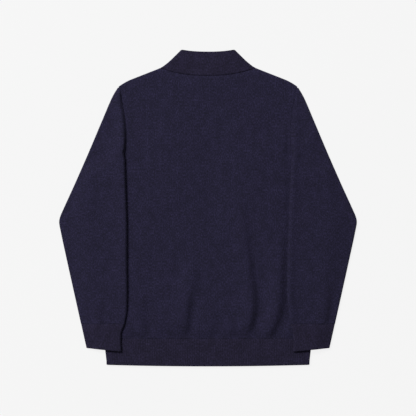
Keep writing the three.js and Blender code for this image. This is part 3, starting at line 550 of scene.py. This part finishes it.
# Sleeves. Each is one piece of the body's knit, joined along its length into a tube and pressed flat. Its outer fold
# lies on the surface, its lower layer climbs over the side of the body, and its inner fold lies on the back panel.
OUTER_FOLD = smooth_path(
    [
        (210.1, 285.1),
        (223.9, 262),
        (248.4, 205.6),
        (280.2, 130.4),
        (313.2, 55.2),
        (338.9, -1.2),
        (347, -20),
        (349.5, -32),
        (345.3, -57.6),
        (333.2, -114),
        (316.6, -189.2),
        (299.8, -264.4),
        (297.9, -272.9),
    ]
)
CUFF_SEAM_Y = -272.6
INNER_FOLD = {  # it lies a little differently on either side
    "right": smooth_path(
        [
            (199.9, 129),
            (196.2, 113),
            (194.6, 92),
            (193, 62),
            (190.6, 10),
            (188.2, -60),
            (185.8, -155),
            (187, -225),
            (193, CUFF_SEAM_Y),
        ]
    ),
    "left": smooth_path(
        [
            (196.8, 129),
            (194.6, 114),
            (193.8, 96),
            (192.9, 62),
            (191.2, 15),
            (189.7, -35),
            (189.5, -125),
            (189.6, -236),
            (195.5, CUFF_SEAM_Y),
        ]
    ),
}
FOLD_START = 0.36  # where along the armhole seam the sleeve starts to fold over the body
SLEEVE_ROUND = 3.3
# How each sleeve's upper layer lies, first below and then beside the armhole seam: how far in it rolls over towards the
# body, and the height, place and width of the swell before that edge. "over_seam" is how far it hangs over the seam.
SLEEVE_LAY = {
    "right": {"roll": (7, 13), "swell": (2, 0.5), "from": 8, "width": 8, "over_seam": 0.4},
    "left": {"roll": (5.5, 9), "swell": (3, 7), "from": 6, "width": 18, "over_seam": 3.2},
}
RAMP = 20
SIDE_CLEAR = 1.5
BESIDE_ARMHOLE = {"floor": 0.2, "over": -1}


def beside_armhole(share, outward):
    ahead = direction_along(ARMHOLE, share)
    return along(ARMHOLE, share) + outward * np.stack([ahead[..., 1], -ahead[..., 0]], axis=-1)


COVERED_EDGE = np.vstack([[(HEM_HALF, HEM_Y)], BODY_SIDE, along(ARMHOLE, np.linspace(0, FOLD_START, 20))])


def outside_body(points):
    """Distance of points outside the part of the body that a sleeve lies on."""
    start, run = COVERED_EDGE[:-1], np.diff(COVERED_EDGE, axis=0)
    to_point = points[:, None, :] - start[None]
    k = np.clip((to_point * run).sum(-1) / np.maximum((run * run).sum(-1), 1e-9), 0, 1)
    distance = np.linalg.norm(to_point - k[..., None] * run, axis=-1).min(1)
    side = np.interp(points[:, 1], COVERED_EDGE[:, 1], COVERED_EDGE[:, 0])
    covered = (points[:, 1] < COVERED_EDGE[-1, 1]) & (points[:, 0] < side)
    return np.where(covered, 0, distance)


def on_line(a, b, x):
    return a + (b - a) * (x - a[0]) / (b[0] - a[0])


def armhole_crossing(a, b, outward):
    """Where a straight line from a to b crosses the armhole seam below its fold, or None."""
    seam = beside_armhole(np.linspace(FOLD_START, 0, 80), outward)
    side = (b[0] - a[0]) * (seam[:, 1] - a[1]) - (b[1] - a[1]) * (seam[:, 0] - a[0])
    below = np.nonzero(side < 0)[0]
    if len(below) == 0 or below[0] == 0:
        return None
    i = below[0]
    return mix(seam[i - 1], seam[i], side[i - 1] / (side[i - 1] - side[i]))


ARMHOLE_LENGTH = ARMHOLE[1][-1]
SLEEVE_SEAM = (1 - FOLD_START) * ARMHOLE_LENGTH


def sleeve_station(t, side):
    """One straight section across the flat sleeve, at a share of its length from the shoulder."""
    inner_fold = INNER_FOLD[side]
    outer = along(OUTER_FOLD, t)
    down = t * (SLEEVE_SEAM + inner_fold[1][-1])
    if down < SLEEVE_SEAM - 1e-6:
        share = 1 - down / ARMHOLE_LENGTH
        inner = beside_armhole(share, -SLEEVE_LAY[side]["over_seam"])
        floor = beside_armhole(share, BESIDE_ARMHOLE["floor"])
        attached = 1 - ease(down / SLEEVE_SEAM, 0.6, 1)
        return {"inner": inner, "over": inner, "floor": floor, "outer": outer, "attached": attached, "joined": False}
    inner = along(inner_fold, min(1, (down - SLEEVE_SEAM) / inner_fold[1][-1]))
    level = on_line(inner, outer, CHEST_HALF + SIDE_CLEAR)[1]
    joined = level < UNDERARM_Y + 1
    if joined:
        over = on_line(inner, outer, np.interp(level, BODY_SIDE[:, 1], BODY_SIDE[:, 0]) + SIDE_CLEAR)
        floor = on_line(inner, outer, over[0] + RAMP / 4)
    else:
        over = armhole_crossing(inner, outer, BESIDE_ARMHOLE["over"])
        floor = armhole_crossing(inner, outer, BESIDE_ARMHOLE["floor"])
        over = inner if over is None else over
        floor = beside_armhole(FOLD_START, BESIDE_ARMHOLE["floor"]) if floor is None else floor
    return {"inner": inner, "over": over, "floor": floor, "outer": outer, "attached": None, "joined": joined}


def body_base(points):
    return back_height(points[:, 0], points[:, 1]) + SEAM_GAP


UPPER_COLUMNS = 30
UNDER_COLUMNS = 16
FLOOR_COLUMNS = 14


def flat_section(station, radius, wall, lay, press):
    """Outer and inner points of one section across a flattened tube, and its distances round the cloth: from the body
    side of its lower layer out round the outer fold, back over the upper layer and round the inner fold."""
    inner, outer = station["inner"], station["outer"]
    width = math.dist(inner, outer)
    outer_round = fold_round = min(radius, 0.4 * width)
    attached = station["attached"] is not None
    roll = min(mix(*lay["roll"], station["attached"] or 0), 0.3 * width)
    seam_z = LAID_HEIGHT - SEAM_DIP["depth"]
    fold_z = seam_z if attached else float(body_base(inner[None])[0]) + radius
    faces = {0: [], wall: []}
    cloth = []

    def layer(start, end, distances, level, inward, edges, cloth_start):
        length = math.dist(start, end)
        flat = start + (end - start) * (distances / length)[:, None]
        level_z = level(flat, distances)
        for depth, made in faces.items():
            shifted = distances.copy()
            z = level_z + inward * depth
            for near, edge, at, lies_flat in edges(distances, length):
                if not lies_flat:
                    turn = np.where(distances < length / 2, 1, -1)
                    shifted += turn * depth * min(1, edge / radius) * np.maximum(0, 1 - near / edge)
                rounding = np.sin(np.clip(near / edge, 0, 1) * math.pi / 2) if lies_flat else round_profile(near, edge)
                z = mix(at + (inward * depth if lies_flat else 0), z, rounding)
            plan = start + (end - start) * np.clip(shifted / length, 0, 1)[:, None]
            made.append(np.column_stack([plan, z]))
        cloth.append(cloth_start + distances)

    def climb(points, distances):
        if not station["joined"]:
            return 0 * distances
        return (LAID_HEIGHT + SEAM_GAP) * (1 - ease(distances + RAMP / 4, -1, RAMP))

    floor = station["floor"]
    length = math.dist(floor, outer)
    ramp_end = min(0.75 * RAMP, 0.6 * (length - outer_round))
    near_fold = length - toward_edge(outer_round)[::-1]
    steps = [
        np.linspace(0, ramp_end, FLOOR_COLUMNS // 2, endpoint=False),
        np.linspace(ramp_end, near_fold[0], FLOOR_COLUMNS // 2 + 1)[:-1],
        near_fold,
    ]
    layer(floor, outer, np.concatenate(steps), climb, 1, lambda d, n: [(n - d, outer_round, radius, False)], -length)

    ramp = max(24, float(outside_body(outer[None])[0]))
    swell_height = mix(*lay["swell"], station["attached"] or 0) * ease(width, 5, 22)

    def high(points, distances):
        clear = ease(outside_body(points), 2, ramp)
        calm = ease(distances, 3, 20) * ease(width - distances, 3, 20)
        swelling = swell_height * np.exp(-(((width - distances - lay["from"]) / lay["width"]) ** 2))
        swelling *= ease(points[:, 1], CUFF_SEAM_Y, CUFF_SEAM_Y + 60)
        return body_base(points) * (1 - clear) + 2 * radius + swelling - press(points[:, 0], points[:, 1], calm)

    steps = [
        toward_edge(outer_round)[1:],
        np.linspace(outer_round, width - 2.2 * roll, UPPER_COLUMNS - 4)[1:],
        np.linspace(width - 2.2 * roll, width - roll, 5)[1:-1],
        width - toward_edge(roll, 9)[::-1],
    ]

    def upper_edges(d, n):
        return [(d, outer_round, radius, False), (n - d, roll, fold_z, attached)]

    layer(outer, inner, np.concatenate(steps), high, -1, upper_edges, 0)

    if attached:
        for made in faces.values():
            made.append(np.repeat(made[-1][-1:], UNDER_COLUMNS, axis=0))
        cloth.append(np.full(UNDER_COLUMNS, width))
    else:
        least = fold_round + 1.2
        over = station["over"]
        end = over if math.dist(over, inner) > least else mix(inner, outer, least / width)
        under = math.dist(inner, end)
        steps = np.concatenate([toward_edge(fold_round)[1:], np.linspace(fold_round, under, UNDER_COLUMNS - 4)[1:]])
        layer(inner, end, steps, lambda p, d: body_base(p), 1, lambda d, n: [(d, fold_round, fold_z, False)], width)
    return np.vstack(faces[0]), np.vstack(faces[wall]), np.concatenate(cloth)


SLEEVE_CREASES = {
    "right": [
        {"line": [(284, -150), (290, -205), (288, -245), (281, -277)],
         "left": 12, "right": 7, "depth": 2.4, "deepest": 0.7},
        {"line": [(266, -170), (271, -215), (268, -250), (262, -277)],
         "left": 9, "right": 13, "depth": -1.8, "deepest": 0.7},
        {"line": [(236, -215), (238, -250), (234, -277)],
         "left": 10, "right": 7, "depth": 1.4, "deepest": 0.7},
        {"line": [(214, -225), (213, -252), (216, -276)],
         "left": 9, "right": 8, "depth": 0.9, "deepest": 0.7},
        {"line": [(262, 92), (260, 24), (238, -40)], "left": 20, "right": 24, "depth": 0.9, "deepest": 0.4},
        {"line": [(292, 60), (295, -10), (282, -80)], "left": 20, "right": 18, "depth": -0.7, "deepest": 0.5},
        {"line": [(212, 226), (224, 190), (222, 150)], "left": 11, "right": 12, "depth": 1.2, "deepest": 0.4},
        {"line": [(230, 196), (250, 154), (262, 108)],
         "left": 16, "right": 16, "depth": -0.7, "deepest": 0.5},
    ],
    "left": [
        {"line": [(274, -180), (276, -225), (272, -255), (267, -277)],
         "left": 8, "right": 12, "depth": 1.9, "deepest": 0.72},
        {"line": [(258, -200), (258, -240), (254, -277)],
         "left": 10, "right": 9, "depth": -1.2, "deepest": 0.7},
        {"line": [(244, -205), (244, -245), (243, -277)],
         "left": 8, "right": 9, "depth": 1.4, "deepest": 0.72},
        {"line": [(224, -230), (225, -255), (227, -276)],
         "left": 8, "right": 8, "depth": 1.1, "deepest": 0.72},
        {"line": [(252, 130), (258, 60), (246, -10)], "left": 20, "right": 22, "depth": 0.9, "deepest": 0.5},
        {"line": [(284, 96), (298, 34), (300, -30)], "left": 22, "right": 20, "depth": -0.8, "deepest": 0.5},
        {"line": [(220, -60), (215, -135), (222, -210)],
         "left": 18, "right": 18, "depth": -0.7, "deepest": 0.5},
        {"line": [(214, 216), (226, 182), (226, 150)], "left": 13, "right": 13, "depth": 0.8, "deepest": 0.4},
    ],
}


def sleeve(side, facing):
    def press(x, y, calm):
        creases = crease_depth(x, y, SLEEVE_CREASES[side])
        return (creases - swell(x, y, 5 + facing)) * calm + 0.6 * seam_dip(y - CUFF_SEAM_Y)

    fold_share = SLEEVE_SEAM / (SLEEVE_SEAM + INNER_FOLD[side][1][-1])
    tries = np.linspace(fold_share, 0.5, 401)
    underarm = next(t for t in tries if sleeve_station(t, side)["joined"])
    shares = [
        np.linspace(0.006, fold_share - 0.006, 36),
        np.linspace(fold_share, underarm - 0.003, 14),
        np.linspace(underarm + 0.001, 0.985, 84),
        [0.991, 0.995, 0.998, 1],
    ]
    shares = np.concatenate(shares)
    stations = [sleeve_station(t, side) for t in shares]
    sections = [flat_section(station, SLEEVE_ROUND, KNIT_WALL, SLEEVE_LAY[side], press) for station in stations]
    outer, inner, around = (np.array(part) for part in zip(*sections))
    fold_down = shares * OUTER_FOLD[1][-1]
    columns = outer.shape[1]
    around = np.column_stack([around, around[:, -1:] + 4])
    cloth = np.stack([around, np.repeat(-fold_down[:, None], columns + 1, axis=1)], axis=-1)
    end = (1 - shares) * OUTER_FOLD[1][-1]
    outer, inner = pinch(outer, inner, np.repeat(edge_shares(end, 1.1)[:, None], columns, axis=1))
    for grid in (outer, inner):
        grid[:, :, 0] *= facing
    cell = np.arange(columns)[None, :]
    row = np.arange(len(stations) - 1)[:, None]
    fold_row = next(i for i, station in enumerate(stations) if station["attached"] is None)
    join_row = next(i for i, station in enumerate(stations) if station["joined"])
    keep = np.where(cell == columns - 1, row >= join_row, (cell < columns - 1 - UNDER_COLUMNS) | (row >= fold_row))
    piece = cloth_piece(f"{side}_sleeve", outer, inner, cloth, facing=facing, closed=True, keep=keep)
    piece.data.materials.append(knit_cloth)
    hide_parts(f"sleeve_{side}")
    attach(piece, "sweater")
    return piece


for side, facing in (("right", 1), ("left", -1)):
    sleeve(side, facing)

# Cuffs. Tubes of the same ribbing as the hem, linked to the sleeves' gathered ends and laid across the hem rib.
CUFF_ROUND = 3.5
CUFF_LAY = {"roll": (5, 5), "swell": (0, 0), "from": 8, "width": 8}
CUFF_OUTER = smooth_path([(297.8, -272.1), (291.6, -300), (285.2, -328.5)])
CUFF_INNER = {
    "right": smooth_path([(193, -271.8), (199.4, -294), (199, -336)]),
    "left": smooth_path([(195.5, -271.8), (203.4, -294), (203, -336)]),
}


def cuff_press(x, y, calm):
    return 0.6 * seam_dip(y - CUFF_SEAM_Y)


def cuff(side, facing):
    down = np.concatenate([[0, 0.3, 1.2], np.arange(4, 55, 4), 59 - toward_edge(3)[::-1]])
    shares = down / down[-1]
    sections = []
    for share in shares:
        inner, outer = along(CUFF_INNER[side], share), along(CUFF_OUTER, share)
        level = (inner[1] + outer[1]) / 2
        edge = BODY_SIDE if level >= RIB_TOP[1] else np.array([(HEM_HALF, HEM_Y + 3.5), RIB_TOP])
        over = on_line(inner, outer, np.interp(level, edge[:, 1], edge[:, 0]) + SIDE_CLEAR)
        floor = on_line(inner, outer, over[0] + RAMP / 4)
        station = {"inner": inner, "over": over, "floor": floor, "outer": outer, "attached": None, "joined": True}
        sections.append(flat_section(station, CUFF_ROUND, RIB_WALL, CUFF_LAY, cuff_press))
    outer, inner, around = (np.array(part) for part in zip(*sections))
    columns = outer.shape[1]
    from_edge = np.repeat((down[-1] - down)[:, None], columns, axis=1)
    around = np.column_stack([around, around[:, -1:] + 4])
    cloth = np.stack([around, np.repeat(-down[:, None], columns + 1, axis=1)], axis=-1)
    outer = carve_ribs(outer, inner, around[:, :-1], from_edge)
    ends = np.minimum(edge_shares(from_edge, RIB_WALL / 2, 0.2), edge_shares(down[-1] - from_edge, 1.1))
    outer, inner = pinch(outer, inner, ends)
    for grid in (outer, inner):
        grid[:, :, 0] *= facing
    piece = cloth_piece(f"{side}_cuff", outer, inner, cloth, facing=facing, closed=True)
    piece.data.materials.append(rib_cloth)
    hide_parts(f"cuff_{side}")
    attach(piece, "sweater")
    return piece


for side, facing in (("right", 1), ("left", -1)):
    cuff(side, facing)

# Stand collar. One band of ribbing from one edge of the zip round the back of the neck to the other, linked to the
# neckline. It is double and soft, so it folds flat at both sides.
COLLAR_TIP = (62.5, 371.2)
COLLAR_SIDE = smooth_path(
    [(NECK_POINT[0], NECK_POINT[1] + 0.1), (105.8, 332), (90.2, 344.3), (77.6, 356.3), COLLAR_TIP]
)
COLLAR = {"top_height": 10.2, "back_sag": 5, "front_sag": 34, "lift": 3, "wall": 3.2}
collar_columns = []
for share in np.concatenate([[-0.001, -0.04], np.linspace(-0.08, -0.94, 12)]):
    collar_columns.append((share, 1, False))
for inside in toward_edge(1)[::-1]:
    collar_columns.append((-1, inside, False))
for inside in toward_edge(1)[1:]:
    collar_columns.append((-1, inside, True))
for share in np.linspace(-0.95, 0.95, 45):
    collar_columns.append((share, 1, True))
for inside in toward_edge(1)[::-1]:
    collar_columns.append((1, inside, True))
for inside in toward_edge(1)[1:]:
    collar_columns.append((1, inside, False))
for share in np.concatenate([np.linspace(0.94, 0.08, 12), [0.04, 0.001]]):
    collar_columns.append((share, 1, False))
share, inside, on_back = (np.array(part) for part in zip(*collar_columns))
collar_path_length = COLLAR_SIDE[1][-1]
up_to_edge = np.arange(3, collar_path_length - 5, 3)
up = np.concatenate([[0, 0.3, 1.2], up_to_edge, collar_path_length - toward_edge(4)[::-1]])
v = (up / collar_path_length)[:, None]
fold = along(COLLAR_SIDE, v[:, 0])
fold_x, fold_y = fold[:, :1], fold[:, 1:]
radius = mix(LAID_HEIGHT, COLLAR["top_height"], ease(v, 0, 0.7)) / 2
x = np.sign(share) * np.minimum(np.abs(share) * fold_x, fold_x - radius * mix(1.45, 1.2, v) * inside)
x = np.where(on_back, x, np.sign(share) * np.maximum(np.abs(x), ZIP_OPENING_HALF))


def collar_y(x):
    neck_drop = np.where(on_back, BACK_NECK["drop"], FRONT_NECK["drop"])
    power = np.where(on_back, BACK_NECK["power"], FRONT_NECK["power"])
    top_sag = np.where(on_back, COLLAR["back_sag"], COLLAR["front_sag"])
    return fold_y + SEAM_GAP - mix(neck_drop, top_sag, v) * (1 - np.minimum(np.abs(x / fold_x), 1) ** power)


seam = seam_dip(v * 76)
over_zip = COLLAR["lift"] * np.maximum(0, 1 - v / 0.7) * (1 - ease(np.abs(x), 12, 62))
COLLAR_CREASES = [
    {"line": [(-70, 352), (-47, 334), (-20, 322)], "left": 9, "right": 9, "depth": 0.7, "deepest": 0.5},
    {"line": [(40, 366), (53, 349), (60, 330)], "left": 9, "right": 9, "depth": 0.5, "deepest": 0.5},
    {"line": [(-14, 366), (-7, 342), (-8, 318)], "left": 12, "right": 12, "depth": 0.5, "deepest": 0.5},
]
wall = mix(KNIT_WALL, COLLAR["wall"], ease(v, 0, 0.25))
wall = mix(wall, ZIP_EDGE_WALL, np.where(on_back, 0, 1 - ease(np.abs(x), 8, 30)))
rounding = round_profile(inside, 1)
soft = crease_depth(x, collar_y(x), COLLAR_CREASES) * ease(v, 0.05, 0.3) - swell(x, collar_y(x), 8) * ease(v, 0.05, 0.3)
back_z = 2 * radius - seam + over_zip - soft
outer_z = mix(radius, np.where(on_back, back_z, 0), rounding)
inner_z = mix(radius, np.where(on_back, back_z - wall, wall), rounding)
inner_x = x - np.sign(x) * (1 - inside) * wall * 1.2
outer = np.stack([x, collar_y(x), outer_z], axis=-1)
inner = np.stack([inner_x, collar_y(inner_x), inner_z], axis=-1)
ends = np.minimum(edge_shares(up[-1] - up, 1.6, 0.2), edge_shares(up, 1.1))
outer, inner = pinch(outer, inner, np.repeat(ends[:, None], outer.shape[1], axis=1))
band_x = np.where(on_back, x, np.sign(x) * (2 * fold_x - np.abs(x)))
cloth = np.stack([band_x, outer[:, :, 1] + 0 * x], axis=-1)
collar = cloth_piece("collar_band", outer, inner, cloth)
collar.data.materials.append(rib_cloth)
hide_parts("collar")
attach(collar, "sweater")

# Zip. Two woven polyester tapes sewn behind the front's edges, with metal teeth, a slider, a pull tab and a stop.
# Its outside faces the surface. Tapes, slider, stop and tab keep their solids, and the teeth replace the plain chain.
tape_material, tree = new_material("woven polyester tape")
place = cloth_node(tree, "ShaderNodeTexCoord")
weave = cloth_node(
    tree, "ShaderNodeTexWave", {"Scale": 1000 / 1.2 / 6.28, "bands_direction": "Y"}, {"Vector": place.outputs["Object"]}
)
weave_bump = cloth_node(tree, "ShaderNodeBump", {"Strength": 0.4, "Distance": 0.0002}, {"Height": weave.outputs[1]})
tape_cloth = cloth_node(
    tree,
    "ShaderNodeBsdfPrincipled",
    {"Base Color": linear("#1c1b28"), "Roughness": 0.8},
    {"Normal": weave_bump.outputs[0]},
)
cloth_node(tree, "ShaderNodeOutputMaterial", links={0: tape_cloth.outputs[0]})

metal_material, tree = new_material("nickel plated zinc")
place = cloth_node(tree, "ShaderNodeTexCoord")
wear = cloth_node(tree, "ShaderNodeTexNoise", {"Scale": 900, "Detail": 3}, {"Vector": place.outputs["Object"]})
wear_bump = cloth_node(tree, "ShaderNodeBump", {"Strength": 0.1, "Distance": 0.0001}, {"Height": wear.outputs[0]})
metal = cloth_node(
    tree,
    "ShaderNodeBsdfPrincipled",
    {"Base Color": linear("#a5a5a8"), "Metallic": 1, "Roughness": 0.32},
    {"Normal": wear_bump.outputs[0]},
)
cloth_node(tree, "ShaderNodeOutputMaterial", links={0: metal.outputs[0]})

for node in ("zip_tape_right", "zip_tape_left"):
    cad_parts[node].data.materials.clear()
    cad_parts[node].data.materials.append(tape_material)
for node in ("zip_slider", "zip_pull_tab", "zip_bottom_stop"):
    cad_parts[node].data.materials.clear()
    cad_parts[node].data.materials.append(metal_material)

TOOTH = {"pitch": 2.4, "length": 2.9, "width": 1.5, "thick": 1.7}
CHAIN = {"low": 110, "high": 323.2, "middle_z": 4.3}


def tooth_chain(material):
    """A tree that repeats one box-shaped tooth up both edges of the zip, each side half a pitch from the other."""
    tree = bpy.data.node_groups.new("tooth chain", "GeometryNodeTree")
    tree.interface.new_socket("Geometry", in_out="OUTPUT", socket_type="NodeSocketGeometry")
    for name, kind in (("Teeth a side", "NodeSocketInt"), ("Pitch", "NodeSocketFloat"), ("Tooth", "NodeSocketVector")):
        tree.interface.new_socket(name, in_out="INPUT", socket_type=kind)
    given = tree.nodes.new("NodeGroupInput")
    cube = cloth_node(tree, "GeometryNodeMeshCube", links={"Size": given.outputs["Tooth"]})
    spacing = cloth_node(tree, "ShaderNodeCombineXYZ", links={"Y": given.outputs["Pitch"]})
    joined = cloth_node(tree, "GeometryNodeJoinGeometry")
    for side in (-1, 1):
        start = cloth_node(tree, "ShaderNodeVectorMath", {"operation": "SCALE", "Scale": 0.25 * side + 0.5})
        tree.links.new(spacing.outputs[0], start.inputs[0])
        beside = cloth_node(tree, "ShaderNodeVectorMath", {"operation": "ADD"}, {0: start.outputs[0]})
        beside.inputs[1].default_value = (side * 0.00062, CHAIN["low"] / 1000, CHAIN["middle_z"] / 1000)
        line = cloth_node(
            tree,
            "GeometryNodeMeshLine",
            links={
                "Count": given.outputs["Teeth a side"],
                "Start Location": beside.outputs[0],
                "Offset": spacing.outputs[0],
            },
        )
        placed = cloth_node(
            tree, "GeometryNodeInstanceOnPoints", links={"Points": line.outputs[0], "Instance": cube.outputs[0]}
        )
        tree.links.new(placed.outputs[0], joined.inputs[0])
    real = cloth_node(tree, "GeometryNodeRealizeInstances", links={0: joined.outputs[0]})
    finish = cloth_node(tree, "GeometryNodeSetMaterial", {"Material": material}, {"Geometry": real.outputs[0]})
    result = tree.nodes.new("NodeGroupOutput")
    tree.links.new(finish.outputs[0], result.inputs[0])
    return tree


def run_tree(name, tree, inputs):
    """A plain mesh object from a geometry tree, with its inputs given by name."""
    maker = bpy.data.objects.new(name, bpy.data.meshes.new(name))
    bpy.context.scene.collection.objects.link(maker)
    modifier = maker.modifiers.new(name, "NODES")
    modifier.node_group = tree
    for socket in tree.interface.items_tree:
        if socket.in_out == "INPUT" and socket.name in inputs:
            modifier[socket.identifier] = inputs[socket.name]
    bpy.context.view_layer.update()
    made = maker.evaluated_get(bpy.context.evaluated_depsgraph_get())
    mesh = bpy.data.meshes.new_from_object(made)
    bpy.data.objects.remove(maker)
    piece = bpy.data.objects.new(name, mesh)
    bpy.context.scene.collection.objects.link(piece)
    return piece


teeth_a_side = int((CHAIN["high"] - CHAIN["low"]) / TOOTH["pitch"])
teeth = run_tree(
    "zip_teeth",
    tooth_chain(metal_material),
    {
        "Teeth a side": teeth_a_side,
        "Pitch": TOOTH["pitch"] / 1000,
        "Tooth": [TOOTH["length"] / 1000, TOOTH["width"] / 1000, TOOTH["thick"] / 1000],
    },
)
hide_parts("zip_chain")
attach(teeth, "sweater")

# Table, light and camera. A plain pale floor, a broad soft light from the upper left as in a studio, and a camera
# straight above the garment.
VIEW_WIDTH = 0.9776  # how much of the floor the square picture takes in
CAMERA_HEIGHT = 3.0
floor_mesh = bpy.data.meshes.new("floor")
reach = 20
floor_mesh.from_pydata(
    [(-reach, -reach, -0.0006), (reach, -reach, -0.0006), (reach, reach, -0.0006), (-reach, reach, -0.0006)],
    [],
    [(0, 1, 2, 3)],
)
floor = bpy.data.objects.new("floor", floor_mesh)
bpy.context.scene.collection.objects.link(floor)
floor_material, tree = new_material("backlit white table")
paint = cloth_node(
    tree, "ShaderNodeBsdfPrincipled", {"Base Color": linear("#404040"), "Roughness": 0.9, "Specular IOR Level": 0.1}
)
paint.inputs["Emission Color"].default_value = linear("#ffffff")
paint.inputs["Emission Strength"].default_value = 0.862
cloth_node(tree, "ShaderNodeOutputMaterial", links={0: paint.outputs[0]})
floor_mesh.materials.append(floor_material)

SOFTBOX = {"place": (-3.4, 3.6, 4.9), "size": 2.3, "watts": 504}
softbox_light = bpy.data.lights.new("softbox", "AREA")
softbox_light.energy = SOFTBOX["watts"]
softbox_light.size = SOFTBOX["size"]
softbox = bpy.data.objects.new("softbox", softbox_light)
softbox.location = SOFTBOX["place"]
softbox.rotation_euler = Vector(SOFTBOX["place"]).to_track_quat("Z", "Y").to_euler()
bpy.context.scene.collection.objects.link(softbox)
world = bpy.data.worlds.new("studio")
world.use_nodes = True
world.node_tree.nodes["Background"].inputs[0].default_value = linear("#ffffff")
world.node_tree.nodes["Background"].inputs[1].default_value = 0.26
bpy.context.scene.world = world
bpy.context.scene.view_settings.view_transform = "Standard"  # colours come out as they are given

camera_data = bpy.data.cameras.new("camera")
camera_data.sensor_width = 36
camera_data.lens = 36 * CAMERA_HEIGHT / VIEW_WIDTH
camera = bpy.data.objects.new("camera", camera_data)
camera.location = (0, 0, CAMERA_HEIGHT)
bpy.context.scene.collection.objects.link(camera)
bpy.context.scene.camera = camera
